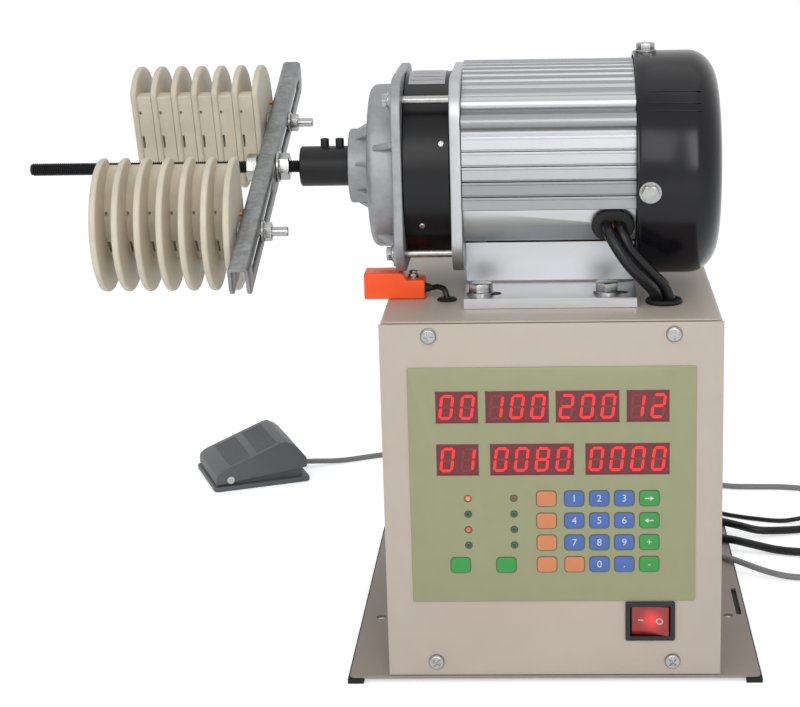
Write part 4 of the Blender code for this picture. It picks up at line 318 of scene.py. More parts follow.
def makeFinish(name, colour, roughness, metallic=0.0, mottle=0.0, mottleScale=60, grain=0.0,
               grainScale=900, stretch=(1, 1, 1), roughVary=0.08, cells=0.0, cellScale=250,
               coat=0.0, glow=None, glowStrength=0.0, under=0.0, specular=0.5, shadeBands=(), spot=None):
    # every finish has a slow change of tone, a fine grain in the bump and an uneven gloss
    material = bpy.data.materials.new(name)
    material.use_nodes = True
    tree = material.node_tree
    shader = tree.nodes["Principled BSDF"]
    shader.inputs["Metallic"].default_value = metallic
    shader.inputs["Specular IOR Level"].default_value = specular
    if coat:
        shader.inputs["Coat Weight"].default_value = coat
        shader.inputs["Coat Roughness"].default_value = 0.04
    if under:
        shader.inputs["Subsurface Weight"].default_value = under
        shader.inputs["Subsurface Radius"].default_value = (0.004, 0.003, 0.002)
        shader.inputs["Subsurface Scale"].default_value = 0.5
    if glow:
        shader.inputs["Emission Color"].default_value = (*glow, 1)
        shader.inputs["Emission Strength"].default_value = glowStrength

    def node(kind, **values):
        return addNode(tree, kind, **values)

    wire = tree.links.new
    coordinate = node("ShaderNodeTexCoord")
    mapping = node("ShaderNodeMapping")
    mapping.inputs["Scale"].default_value = stretch
    wire(coordinate.outputs["Object"], mapping.inputs["Vector"])

    slow = node("ShaderNodeTexNoise", Scale=mottleScale, Detail=5.0, Roughness=0.55)
    wire(mapping.outputs["Vector"], slow.inputs["Vector"])
    tones = node("ShaderNodeValToRGB")
    dark = [c * (1 - mottle) for c in colour]
    light = [min(1.0, c * (1 + mottle)) for c in colour]
    tones.color_ramp.elements[0].position = 0.3
    tones.color_ramp.elements[1].position = 0.7
    tones.color_ramp.elements[0].color = (*dark, 1)
    tones.color_ramp.elements[1].color = (*light, 1)
    wire(slow.outputs["Fac"], tones.inputs["Fac"])
    tone = tones.outputs["Color"]
    if cells:
        spangle = node("ShaderNodeTexVoronoi", Scale=cellScale)
        wire(mapping.outputs["Vector"], spangle.inputs["Vector"])
        grey = node("ShaderNodeRGBToBW")
        wire(spangle.outputs["Color"], grey.inputs["Color"])
        shift = node("ShaderNodeMapRange")
        shift.inputs["To Min"].default_value = 1 - cells
        shift.inputs["To Max"].default_value = 1 + cells
        wire(grey.outputs["Val"], shift.inputs["Value"])
        mix = multiplied(tree, tone)
        wire(shift.outputs["Result"], mix.inputs["B"])
        tone = mix.outputs["Result"]
    for low, high, share in shadeBands:
        # a stretch of height painted darker as shade, such as the shaded hollow between bright lands
        axes = node("ShaderNodeSeparateXYZ")
        wire(coordinate.outputs["Object"], axes.inputs["Vector"])
        rise = node("ShaderNodeMapRange")
        fall = node("ShaderNodeMapRange")
        for ramp, level, begin, finish in ((rise, low, 0, 1), (fall, high, 1, 0)):
            for key, value in (("From Min", level - 0.0005), ("From Max", level + 0.0005), ("To Min", begin),
                               ("To Max", finish)):
                ramp.inputs[key].default_value = value
            wire(axes.outputs["Z"], ramp.inputs["Value"])
        within = node("ShaderNodeMath", operation="MULTIPLY")
        wire(rise.outputs["Result"], within.inputs[0])
        wire(fall.outputs["Result"], within.inputs[1])
        shadow = multiplied(tree, tone, by=(share, share, share, 1))
        wire(within.outputs["Value"], shadow.inputs["Factor"])
        tone = shadow.outputs["Result"]
    if spot:
        # light from a small lamp behind the surface
        place, reach, peak = spot
        away = node("ShaderNodeVectorMath", operation="DISTANCE")
        wire(coordinate.outputs["Object"], away.inputs[0])
        away.inputs[1].default_value = place
        fade = node("ShaderNodeMapRange", interpolation_type="SMOOTHSTEP")
        fade.inputs["From Max"].default_value = reach
        fade.inputs["To Min"].default_value = peak
        fade.inputs["To Max"].default_value = glowStrength
        wire(away.outputs["Value"], fade.inputs["Value"])
        wire(fade.outputs["Result"], shader.inputs["Emission Strength"])
    wire(tone, shader.inputs["Base Color"])

    fine = node("ShaderNodeTexNoise", Scale=grainScale, Detail=3.0, Roughness=0.6)
    wire(mapping.outputs["Vector"], fine.inputs["Vector"])
    gloss = node("ShaderNodeMapRange")
    gloss.inputs["To Min"].default_value = max(0.02, roughness - roughVary)
    gloss.inputs["To Max"].default_value = min(1.0, roughness + roughVary)
    wire(slow.outputs["Fac"], gloss.inputs["Value"])
    wire(gloss.outputs["Result"], shader.inputs["Roughness"])
    if grain:
        bump = node("ShaderNodeBump", Strength=grain, Distance=0.0002)
        wire(fine.outputs["Fac"], bump.inputs["Height"])
        wire(bump.outputs["Normal"], shader.inputs["Normal"])
    return material


boxPaint = makeFinish("beige_powder_coat", (0.50, 0.425, 0.36), 0.46, mottle=0.03, mottleScale=25,
                      grain=0.30, grainScale=1500, roughVary=0.06)
platePaint = makeFinish("taupe_plate_paint", (0.29, 0.245, 0.205), 0.55, mottle=0.06, mottleScale=35,
                        grain=0.35, grainScale=1300)
filmGreen = makeFinish("keypad_film_green", (0.300, 0.305, 0.170), 0.42, mottle=0.02, mottleScale=80,
                       grain=0.22, grainScale=2600)
windowRed = makeFinish("display_window_red", (0.110, 0.010, 0.014), 0.20, mottle=0.10, mottleScale=120,
                       grain=0.03, glow=(1.0, 0.02, 0.03), glowStrength=0.035)
windowRim = makeFinish("display_rim_maroon", (0.17, 0.035, 0.04), 0.5, mottle=0.08, grain=0.15)
digitLit = makeFinish("segment_lit", (0.55, 0.02, 0.02), 0.5, mottle=0.03, glow=(1.0, 0.045, 0.045),
                      glowStrength=0.85, specular=0.2)
digitDark = makeFinish("segment_unlit", (0.20, 0.022, 0.026), 0.35, mottle=0.05)
keyOrange = makeFinish("key_orange", (0.62, 0.22, 0.09), 0.42, mottle=0.03, grain=0.15, grainScale=2200)
keyBlue = makeFinish("key_blue", (0.060, 0.135, 0.40), 0.42, mottle=0.03, grain=0.15, grainScale=2200)
keyGreen = makeFinish("key_green", (0.030, 0.29, 0.055), 0.42, mottle=0.03, grain=0.15, grainScale=2200)
keyRim = makeFinish("key_outline", (0.085, 0.085, 0.05), 0.6, mottle=0.05, grain=0.1)
keyInk = makeFinish("key_figure_white", (0.62, 0.64, 0.58), 0.5, mottle=0.02)
lampLit = makeFinish("lamp_lit_red", (0.9, 0.10, 0.05), 0.3, mottle=0.02, glow=(1.0, 0.13, 0.06),
                     glowStrength=1.3)
lampSoft = makeFinish("lamp_lit_dim", (0.75, 0.05, 0.03), 0.3, mottle=0.02, glow=(1.0, 0.06, 0.04),
                      glowStrength=0.6)
lampBrown = makeFinish("lamp_brown_red", (0.20, 0.03, 0.02), 0.3, mottle=0.05, glow=(0.6, 0.05, 0.03),
                       glowStrength=0.2)
lampDark = makeFinish("lamp_dark", (0.045, 0.032, 0.030), 0.25, mottle=0.05)
rubberBlack = makeFinish("black_rubber_matt", (0.012, 0.012, 0.012), 0.62, mottle=0.12, mottleScale=90,
                         grain=0.30, grainScale=1400, specular=0.25)
cableBlack = makeFinish("black_cable_sheath", (0.010, 0.010, 0.011), 0.27, mottle=0.10, mottleScale=110,
                        grain=0.10, grainScale=1200, specular=0.28)
cordGrey = makeFinish("grey_cable_sheath", (0.235, 0.235, 0.235), 0.42, mottle=0.06, mottleScale=110,
                      grain=0.12, grainScale=1200)
plasticBlack = makeFinish("black_moulded_plastic", (0.014, 0.014, 0.015), 0.36, mottle=0.10,
                          mottleScale=90, grain=0.25, grainScale=1800, specular=0.35)
glossBlack = makeFinish("gloss_black_enamel", (0.006, 0.006, 0.008), 0.21, mottle=0.10, mottleScale=20,
                        grain=0.02, grainScale=300, roughVary=0.03, specular=0.28)
casingBlack = makeFinish("satin_black_casing", (0.004, 0.004, 0.005), 0.30, mottle=0.08, mottleScale=30,
                         grain=0.15, grainScale=900, roughVary=0.05, specular=0.28)
lensRed = makeFinish("rocker_red_lens", (0.17, 0.008, 0.010), 0.14, mottle=0.12, mottleScale=160,
                     glow=(1.0, 0.035, 0.03), glowStrength=0.12, coat=0.3,
                     spot=((0.0605, -0.1400, 0.0385), 0.0095, 0.75))
boardGreen = makeFinish("board_solder_mask", (0.02, 0.18, 0.07), 0.35, mottle=0.12, mottleScale=180,
                        grain=0.2)
# heights over the motor's axis between which the extrusion is painted darker as shade: the pedestal, the
# recess, the five lands, both rolls with the hollow between them, and the top ribs
extrusionShadeBands = [(-0.0725, -0.0412, 0.76), (-0.0402, -0.0206, 0.82), (-0.0195, -0.0097, 0.42),
                  (-0.0097, -0.0004, 0.40), (-0.0004, 0.0089, 0.59), (0.0089, 0.0182, 0.69),
                  (0.0182, 0.0280, 0.78), (0.0290, 0.0375, 0.38), (0.0375, 0.0405, 0.40),
                  (0.0405, 0.0500, 0.66), (0.0500, 0.0700, 0.42)]
# brushed aluminium, darkened in the bands of painted shade listed above
extrusion = makeFinish("brushed_extruded_aluminium", (0.66, 0.67, 0.69), 0.36, 1.0, mottle=0.06,
                       mottleScale=30, grain=0.18, grainScale=420, stretch=(0.05, 1, 1), roughVary=0.06,
                       shadeBands=[(axisZ + low, axisZ + high, share) for low, high, share in extrusionShadeBands])
castGrey = makeFinish("sand_cast_aluminium", (0.31, 0.314, 0.32), 0.52, 0.75, mottle=0.12,
                      mottleScale=160, grain=0.75, grainScale=1100, roughVary=0.10)
flangeBright = makeFinish("machined_flange_edge", (0.43, 0.435, 0.445), 0.42, 1.0, mottle=0.06,
                          mottleScale=120, grain=0.25, grainScale=800)
zincBright = makeFinish("bright_zinc_plate", (0.36, 0.36, 0.355), 0.26, 1.0, mottle=0.12,
                        mottleScale=260, grain=0.15, grainScale=1500, roughVary=0.08)
zincDull = makeFinish("dull_galvanised_sheet", (0.235, 0.24, 0.24), 0.46, 0.85, mottle=0.14,
                      mottleScale=70, grain=0.30, grainScale=1100, cells=0.22, cellScale=260)
steelGround = makeFinish("ground_steel", (0.50, 0.50, 0.51), 0.30, 1.0, mottle=0.06, mottleScale=140,
                         grain=0.2, grainScale=900)
blackSteel = makeFinish("black_oxide_steel", (0.012, 0.012, 0.013), 0.42, 0.05, mottle=0.15,
                        mottleScale=150, grain=0.3, grainScale=1300, specular=0.25)
copperWire = makeFinish("varnished_copper", (0.68, 0.27, 0.12), 0.32, 1.0, mottle=0.10, mottleScale=220,
                        grain=0.3, grainScale=1000)
nylonCream = makeFinish("cream_nylon", (0.64, 0.575, 0.455), 0.50, mottle=0.08, mottleScale=45,
                        grain=0.22, grainScale=1000, under=0.30)
orangeShell = makeFinish("orange_moulded_plastic", (1.0, 0.105, 0.018), 0.36, mottle=0.04,
                         mottleScale=110, grain=0.12, grainScale=1500, under=0.05, specular=0.3)
pedalGrey = makeFinish("grey_moulded_plastic", (0.100, 0.106, 0.112), 0.50, mottle=0.06,
                       mottleScale=70, grain=0.40, grainScale=2000)
pinSteel = makeFinish("dull_pin_steel", (0.45, 0.45, 0.44), 0.45, 0.9, mottle=0.10, grain=0.3)
labelSilver = makeFinish("bare_label_foil", (0.36, 0.36, 0.37), 0.36, 0.6, mottle=0.04, mottleScale=90,
                         grain=0.10, grainScale=900)
tinPlate = makeFinish("tinned_case", (0.55, 0.55, 0.53), 0.42, 1.0, mottle=0.10, grain=0.3, cells=0.1)
print("finishes made")


# Camera at the photograph's place, with its perspective

camera = {"place": (0.002946, -1.265122, 0.510564), "lens": 87.75, "sensor": 36,
          "shift": (-0.1, -0.0294), "pitch": 0.248796, "yaw": -0.040083, "roll": -0.019704}
pitch, yaw, roll = camera["pitch"], camera["yaw"], camera["roll"]
ahead = Vector((math.sin(yaw) * math.cos(pitch), math.cos(yaw) * math.cos(pitch), -math.sin(pitch)))
across = Vector((math.cos(yaw), -math.sin(yaw), 0))
upright = across.cross(ahead)
side = across * math.cos(roll) + upright * math.sin(roll)
up = upright * math.cos(roll) - across * math.sin(roll)
lens = bpy.data.cameras.new("photo_camera")
lens.lens = camera["lens"]
lens.sensor_width = camera["sensor"]
lens.shift_x, lens.shift_y = camera["shift"]
lens.clip_end = 50
eye = bpy.data.objects.new("photo_camera", lens)
bpy.context.scene.collection.objects.link(eye)
eye.matrix_world = Matrix.Translation(camera["place"]) @ Matrix((side, up, -ahead)).transposed().to_4x4()
bpy.context.scene.camera = eye


# The cords, along the same points as the solids

def smoothRoute(points, spacing):
    points = [Vector(p) for p in points]
    ends = [points[0] * 2 - points[1]] + points + [points[-1] * 2 - points[-2]]
    fine = []
    for i in range(1, len(ends) - 2):
        a, b, c, d = ends[i - 1:i + 3]
        for step in range(16):
            t = step / 16
            fine.append(((b * 2) + (c - a) * t + (a * 2 - b * 5 + c * 4 - d) * t ** 2
                         + (b * 3 - a - c * 3 + d) * t ** 3) / 2)
    fine.append(points[-1])
    total = sum((q - p).length for p, q in zip(fine, fine[1:]))
    count = max(2, round(total / spacing))
    result = [fine[0]]
    walked = 0
    target = total / count
    for p, q in zip(fine, fine[1:]):
        step = (q - p).length
        while walked + step >= target and len(result) < count:
            result.append(p.lerp(q, (target - walked) / step))
            target += total / count
        walked += step
    result.append(fine[-1])
    return result


def routeLength(points):
    return sum((Vector(q) - Vector(p)).length for p, q in zip(points, points[1:]))


glandZ = 0.0293
glandTip = 0.0731
pedalCord = {"radius": 0.00225, "exit": (-0.212316, 0.288708, 0.003),
             "second": (-0.199290, 0.293839, 0.0017)}
mainsCord = {"radius": 0.0030, "coilCentre": (0.0300, 0.2310), "outer": 0.0403, "inner": 0.0267,
             "turns": 2, "steps": 24, "climb": 0.0066, "tail": 0.0620}
leadCord = {"radius": 0.00175}


def lyingHeights(radius):
    # of a cord's middle, on the floor and on the base plate
    return floorZ + radius, plateTop + radius + hair


def pedalCordRoute():
    ground, onPlate = lyingHeights(pedalCord["radius"])
    return [pedalCord["exit"], pedalCord["second"],
            (-0.178, 0.3025, ground), (-0.1447, 0.317, ground), (-0.090, 0.335, ground),
            (-0.030, 0.340, ground), (0.025, 0.322, ground), (0.072, 0.285, ground),
            (0.108, 0.248, ground), (0.136, 0.2300, ground), (0.1557, 0.2267, ground),
            (0.190, 0.224, ground), (0.226, 0.208, ground), (0.253, 0.176, ground),
            (0.262, 0.132, ground), (0.256, 0.088, ground), (0.233, 0.052, ground),
            (0.200, 0.033, ground), (0.170, 0.0300, ground), (0.1486, 0.0370, ground + 0.0022),
            (0.1340, 0.0460, onPlate), (0.1225, 0.0570, onPlate), (0.1130, 0.0710, onPlate),
            (0.1050, 0.0870, onPlate), (0.0965, 0.1010, onPlate + 0.0020),
            (0.0850, 0.1060, onPlate + 0.0090), (0.0752, 0.0980, onPlate + 0.0185),
            (0.0705, 0.0850, glandZ - 0.0010), (0.0700, 0.0780, glandZ), (0.0700, glandTip + hair, glandZ)]


def mainsCordRoute():
    ground, onPlate = lyingHeights(mainsCord["radius"])
    return [(0.0350, glandTip + hair, glandZ), (0.0350, 0.0840, glandZ),
            (0.0355, 0.0940, glandZ - 0.0030), (0.0375, 0.1060, onPlate + 0.0120),
            (0.0430, 0.1190, onPlate + 0.0035), (0.0540, 0.1290, onPlate), (0.0700, 0.1325, onPlate),
            (0.0860, 0.1280, onPlate), (0.0990, 0.1180, onPlate), (0.1115, 0.1035, onPlate),
            (0.1251, 0.0925, onPlate), (0.1370, 0.0885, onPlate - 0.0008),
            (0.1507, 0.0850, ground + 0.0018), (0.1660, 0.0805, ground), (0.1820, 0.0770, ground),
            (0.2020, 0.0770, ground), (0.2190, 0.0880, ground), (0.2250, 0.1040, ground),
            (0.2170, 0.1205, ground), (0.1980, 0.1275, ground), (0.1750, 0.1225, ground + 0.0003),
            (0.1518, 0.1180, ground + 0.0022), (0.1370, 0.1225, onPlate - 0.0004),
            (0.1240, 0.1310, onPlate), (0.1090, 0.1400, onPlate), (0.0955, 0.1490, onPlate - 0.0010),
            (0.0830, 0.1610, ground + 0.0014), (0.0755, 0.1760, ground), (0.0715, 0.1960, ground),
            (0.0703, 0.2250, ground)]


def leadRoute():
    r = leadCord["radius"]
    ground, onPlate = lyingHeights(r)
    over = floorZ + 2 * mainsCord["radius"] + 2 * r + 0.0012
    return [(0.0000, glandTip + hair, glandZ), (0.0000, 0.0790, glandZ),
            (0.0010, 0.0900, glandZ - 0.0040), (0.0040, 0.1020, onPlate + 0.0115),
            (0.0100, 0.1150, onPlate + 0.0030), (0.0200, 0.1290, onPlate), (0.0340, 0.1400, onPlate),
            (0.0520, 0.1490, over - 0.0020), (0.0720, 0.1590, over), (0.0920, 0.1640, over),
            (0.1120, 0.1660, over - 0.0040), (0.1310, 0.1636, ground), (0.1528, 0.1529, ground),
            (0.1750, 0.1475, ground), (0.1960, 0.1470, ground + 0.0055 - r)]


def coilPoints():
    # in along the floor layer, up in a quarter turn, and out again on top, then the tail
    low = floorZ + mainsCord["radius"]
    steps = mainsCord["steps"]
    perTurn = (mainsCord["outer"] - mainsCord["inner"]) / mainsCord["turns"]
    total = mainsCord["turns"] * steps
    rows = [(s, mainsCord["outer"] - perTurn * s / steps, low) for s in range(total + 1)]
    quarter = steps // 4
    rows += [(total + s, mainsCord["inner"], low + mainsCord["climb"] * s / quarter)
             for s in range(1, quarter + 1)]
    rows += [(total + quarter + s, mainsCord["inner"] + perTurn * s / steps, low + mainsCord["climb"])
             for s in range(1, total + 1)]
    cx, cy = mainsCord["coilCentre"]
    points = [Vector((cx + radius * math.cos(2 * math.pi * s / steps),
                      cy + radius * math.sin(2 * math.pi * s / steps), z)) for s, radius, z in rows]
    onward = (points[-1] - points[-2]).normalized()
    start = points[-1]
    for step in range(1, 9):
        share = step / 8
        place = start + onward * mainsCord["tail"] * share
        place.z = start.z + (low - start.z) * share * share * (3 - 2 * share)
        points.append(place)
    level = Vector((onward.x, onward.y, 0)).normalized()
    points.append(points[-1] + level * 2 * mainsCord["radius"])
    return points, level


def fineLine(points):
    # the same line with rounder bends: a smooth curve through the points
    return smoothRoute(points, routeLength(points) / (2 * len(points)))


pedalLine = fineLine(smoothRoute(pedalCordRoute(), 6 * pedalCord["radius"]))
mainsLine = smoothRoute(mainsCordRoute(), 5 * mainsCord["radius"])
coilLine, coilAhead = coilPoints()
wholeMains = fineLine(mainsLine + coilLine)
leadLine = fineLine(smoothRoute(leadRoute(), 6 * leadCord["radius"]))

pedalCable = tubeAlong("pedal_cable", pedalLine, pedalCord["radius"])
finished(pedalCable, "pedal_cable", "base", cordGrey, ("pedal_cord",))


# plug: a flat tapered grip with finger ribs, and its two blades
plug = {"length": 0.038, "width": 0.020, "height": 0.014, "blade": (0.016, 0.0015, 0.0062),
        "spacing": 0.0127, "ribs": 5}
tip = coilLine[-1]
plugHalf, plugSide = plug["length"] / 2, plug["width"] / 2
plugMiddle = Vector((tip.x, tip.y, floorZ + hair + plug["height"] / 2)) + coilAhead * (plugHalf + hair)
plugPlace = Matrix.Translation(plugMiddle) @ spun(math.atan2(coilAhead.y, coilAhead.x))
gripSide = [(plugHalf, plugSide), (0, plugSide), (-plugHalf * 0.5, plugSide * 0.8),
            (-plugHalf, plugSide * 0.55)]
grip = slab([(x, -y) for x, y in reversed(gripSide)] + gripSide, plug["height"], plugPlace, 0.0022, 4)
ribs = [brick((0.0012, plug["width"] * 0.62, 0.0006),
              plugPlace @ upFrom(-0.002 + i * 0.0028, 0, plug["height"] / 2 - 0.0001), 0.0002, 2)
        for i in range(plug["ribs"])]
plugBody = joinAll(grip, *ribs)
finished(plugBody, "plug_grip", "base", plasticBlack, ("mains_plug",))
blades = []
for s in (-1, 1):
    length = plug["blade"][0]
    blade = brick(plug["blade"], plugPlace @ upFrom(plugHalf + length / 2, s * plug["spacing"] / 2, 0),
                  0.0005, 2)
    hole = plugPlace @ upFrom(plugHalf + length - 0.004, s * plug["spacing"] / 2, 0)
    blades.append(cutWith(blade, disc(0.0014, -0.003, 0.003, hole @ spun(quarterTurn, "X"), 16)))
plugBlades = finished(joinAll(*blades), "plug_blades", "base", zincBright)

mainsCable = tubeAlong("mains_cable", wholeMains, mainsCord["radius"])
finished(mainsCable, "mains_cable", "base", cableBlack, ("mains_cord", "mains_coil"))

# connector of the accessory lead: a knurled collar on a stepped grip
leadAhead = leadLine[-1] - leadLine[-2]
leadAhead.z = 0
leadPlace = facing(leadLine[-1], leadAhead.normalized())
collar = lathe([(0, 0.0004), (0.0023, 0.0004), (0.0026, 0.003), (0.0046, 0.0068), (0.0048, 0.0075),
               (0.0048, 0.0195), (0.0045, 0.0200), (0.0053, 0.0203), (0.0055, 0.0208), (0.0055, 0.0255),
                (0.0052, 0.0258), (0.0046, 0.0258), (0.0046, 0.0225), (0, 0.0225)], leadPlace, 40)
knurl = [brick((0.0005, 0.0005, 0.0100), leadPlace @ spun(2 * math.pi * i / 18)
               @ upFrom(0.0048, 0, 0.0135), 0.0001, 1) for i in range(18)]
connector = finished(joinAll(collar, *knurl), "lead_plug", "base", plasticBlack,
                     ("lead_connector",))
leadCable = tubeAlong("accessory_cable", leadLine, leadCord["radius"])
finished(leadCable, "accessory_cable", "base", cableBlack, ("accessory_lead",))
print("cords laid")


# Fasteners, modelled once and copied

def hexHead(flats, height, washer=0, washerRadius=0):
    # a chamfered hexagon head on its washer, standing on the origin along z
    radius = flats / math.sqrt(3)
    head = slab(ringLoop(radius, 6), height, upFrom(0, 0, height / 2 + washer))
    low = washer
    ease = radius - flats / 2
    cone = lathe([(0, low - 0.001), (radius * 1.2, low - 0.001), (radius * 1.2, low + height - ease),
                  (flats / 2 * 0.97, low + height), (0, low + height)], upFrom(0, 0, 0), 48)
    cutWith(head, cone, operation="INTERSECT")
    roundEdges(head, 0.0002, 2)
    if washer:
        disc = lathe([(0, 0), (washerRadius, 0), (washerRadius, washer * 0.75),
                      (washerRadius - washer * 0.25, washer), (0, washer)], upFrom(0, 0, 0), 48)
        joinAll(head, disc)
    return head


def panHead(radius, height):
    profile = [(0, 0), (radius, 0)] + arc(radius * 0.62, 0, radius * 0.38, 0, quarterTurn, 8, 1, height)
    head = lathe(profile + [(0, height * 1.04)], upFrom(0, 0, 0), 48)
    for angle in (0.4, quarterTurn + 0.4):
        # the two slots of the cross
        cutWith(head, brick((radius * 1.15, radius * 0.26, height),
                            upFrom(0, 0, height * 0.95) @ spun(angle)))
    return head


def socketScrew(radius, length):
    hole = slab(ringLoop(radius * 0.58, 6), length, upFrom(0, 0, length))
    return cutWith(peg(radius, length, upFrom(0, 0, 0), 0.0004), hole)


# width over flats and height of a head, thickness and radius of its washer
footBolt = hexHead(0.0130, 0.0053, 0.0016, 0.0085)
tieBolt = hexHead(0.0080, 0.0035, 0.0010, 0.0052)
capBolt = hexHead(0.0100, 0.0042, 0.0010, 0.0068)
panelScrew = panHead(0.0050, 0.0024)
smallScrew = panHead(0.0021, 0.0010)


# Cabinet: bent cover, front panel, rear panel

cabinet = {"width": 0.205, "height": 0.2275, "sheet": 0.0012, "bend": 0.003, "lip": 0.012,
           "flange": 0.016, "panel": 0.0015, "proud": 0.0005, "topDrop": 0.0016,
           "screwX": 0.0733, "screwInset": 0.009, "switchHole": (0.0276, 0.0222), "slots": 5,
           "slotPitch": 0.010, "slotHigh": 0.110}


def coverLoop():
    half = cabinet["width"] / 2
    high = cabinet["height"]
    bend, sheet = cabinet["bend"], cabinet["sheet"]
    right = [(half, 0)] + arc(half - bend, high - bend, bend, 0, quarterTurn, 8)
    inner = [(half - cabinet["lip"], 0), (half - cabinet["lip"], sheet), (half - sheet, sheet)]
    inner += arc(half - bend, high - bend, bend - sheet, 0, quarterTurn, 8)
    return right + [(-x, y) for x, y in reversed(right)] + [(-x, y) for x, y in inner] + inner[::-1]


cover = slabY(coverLoop(), coverFront, coverBack, 0, boxFoot)
cableHoles = [(0.0695, panelFront + 0.0427, 0.0087), (-0.0645, panelFront + 0.0545, 0.0049)]
for x, y, radius in cableHoles:
    cutWith(cover, disc(radius, -0.004, 0.004, upFrom(x, y, boxTop)))
boxWide = cabinet["width"] - cabinet["sheet"]
boxTall = cabinet["height"] - cabinet["sheet"]
middleZ = boxFoot + cabinet["height"] / 2
frames = []
for near in (coverFront + hair, coverBack - hair - cabinet["sheet"]):
    edgeFrame = slabY(roundedLoop(boxWide, boxTall, cabinet["bend"]), near, near + cabinet["sheet"], 0,
                      middleZ)
    opening = slabY(rectLoop(boxWide - 2 * cabinet["flange"], boxTall - 2 * cabinet["flange"]),
                    near - 0.002, near + 0.004, 0, middleZ)
    frames.append(cutWith(edgeFrame, opening))
lipDeep = coverFront + 2 * cabinet["sheet"] - panelFront
lip = brick((cabinet["width"] - 2 * cabinet["bend"] - 2 * hair, lipDeep, cabinet["sheet"] - hair),
            upFrom(0, panelFront + lipDeep / 2, boxTop - cabinet["sheet"] / 2), 0.0005, 3)
cover = joinAll(cover, lip, *frames)
finished(cover, "cabinet_shell", "base", boxPaint, ("cabinet_cover",))

panelTop = boxTop - cabinet["topDrop"]
panelMiddle = (boxFoot + panelTop) / 2
panelWide = cabinet["width"] + 2 * cabinet["proud"]
switchX, switchZ = 0.0594, boxFoot + 0.0360
overlay = {"width": 0.1735, "height": 0.1498, "floor": 0.0492, "thick": 0.0006, "pitch": 0.01257,
           "windowHeight": 0.0195, "upper": 0.1743, "lower": 0.1411}
overlayFront = panelFront - hair - overlay["thick"]
overlayZ = boxFoot + overlay["floor"] + overlay["height"] / 2
panel = slabY(rectLoop(panelWide, panelTop - boxFoot), panelFront, panelFront + cabinet["panel"], 0,
              panelMiddle, edge=0.0004, segments=2)
cutWith(panel, slabY(rectLoop(*cabinet["switchHole"]), panelFront - 0.002, panelFront + 0.004, switchX,
                     switchZ))
finished(panel, "panel_face", "base", boxPaint, ("front_panel",))
screws = []
screwPlaces = [(s * cabinet["screwX"], z) for s in (-1, 1)
               for z in (boxFoot + cabinet["screwInset"], boxTop - cabinet["screwInset"])]
for i, (x, z) in enumerate(screwPlaces):
    for face, out in ((panelFront, -1), (rearFace, 1)):
        turn = spun(0.7 * i + out)
        screws.append(copyOf(panelScrew, facing((x, face, z), (0, out, 0)) @ turn))
finished(joinAll(*screws), "panel_screws", "base", zincBright)

rear = slabY(rectLoop(panelWide, cabinet["height"]), coverBack + hair, rearFace, 0, middleZ, edge=0.0004,
             segments=2)
for i in range(cabinet["slots"]):
    cutWith(rear, slabY(slotLoop(0.070, 0.004), coverBack - 0.002, rearFace + 0.002, 0,
                        boxFoot + cabinet["slotHigh"] + i * cabinet["slotPitch"]))
finished(rear, "rear_face", "base", boxPaint, ("rear_panel",))
reliefs = []
for x, bore in ((0.0, 0.0022), (0.035, 0.0034), (0.070, 0.0027)):
    # a flange, a ribbed taper, and a sleeve that ends on the cord
    profile = [(0, -0.006), (0.0068, -0.006), (0.0068, 0.0), (0.0085, 0.0), (0.0085, 0.0016),
               (0.0070, 0.0024)]
    for rib in range(6):
        wide = 0.0068 + (bore + 0.0010 - 0.0068) * rib / 6
        at = 0.0030 + 0.0180 * rib / 6
        profile += [(wide, at), (wide, at + 0.0014), (wide - 0.0007, at + 0.0018),
                    (wide - 0.0007, at + 0.0026)]
    profile += [(bore + 0.0005, 0.0228), (bore, 0.0230), (0, 0.0230)]
    reliefs.append(lathe(profile, facing((x, rearFace, glandZ), (0, 1, 0)), 40))
finished(joinAll(*reliefs), "cord_glands", "base", rubberBlack)
print("cabinet made")


# Keypad film with its windows, figures, lamps and keys

film = slabY(roundedLoop(overlay["width"], overlay["height"], 0.001), overlayFront, panelFront - hair, 0,
             overlayZ)
roundEdges(film, 0.00015, 2)
displays = [(-0.0572, overlay["upper"], "00"), (-0.0208, overlay["upper"], "100"),
            (0.0215, overlay["upper"], "200"), (0.0578, overlay["upper"], "12"),
            (-0.0573, overlay["lower"], "01"), (-0.0122, overlay["lower"], "0080"),
            (0.0455, overlay["lower"], "0000")]
lamp = {"columns": (-0.0516, -0.0236), "rows": 4, "top": 0.1164, "pitch": 0.01005, "hole": 0.0020,
        "radius": 0.0018, "rim": (0.0019, 0.0024)}
lampSpots = [(column, row, x, boxFoot + lamp["top"] - row * lamp["pitch"])
             for column, x in enumerate(lamp["columns"]) for row in range(lamp["rows"])]
windowTools, glasses, rims, lit, unlit = [], [], [], [], []
segmentSet = {"0": "abcdef", "1": "bc", "2": "abdeg", "8": "abcdefg"}
figure = {"width": 0.0066, "height": 0.0138, "bar": 0.00165, "slant": math.radians(7)}


def segmentPlaces():
    w, h = figure["width"] / 2, figure["height"] / 2
    return {"a": (0, h, 0), "b": (w, h / 2, 1), "c": (w, -h / 2, 1), "d": (0, -h, 0),
            "e": (-w, -h / 2, 1), "f": (-w, h / 2, 1), "g": (0, 0, 0)}


def oneBar(length):
    t = figure["bar"] / 2
    loop = [(-length / 2, 0), (-length / 2 + t, -t), (length / 2 - t, -t), (length / 2, 0),
            (length / 2 - t, t), (-length / 2 + t, t)]
    return slab(loop, 0.00012, Matrix.Identity(4))


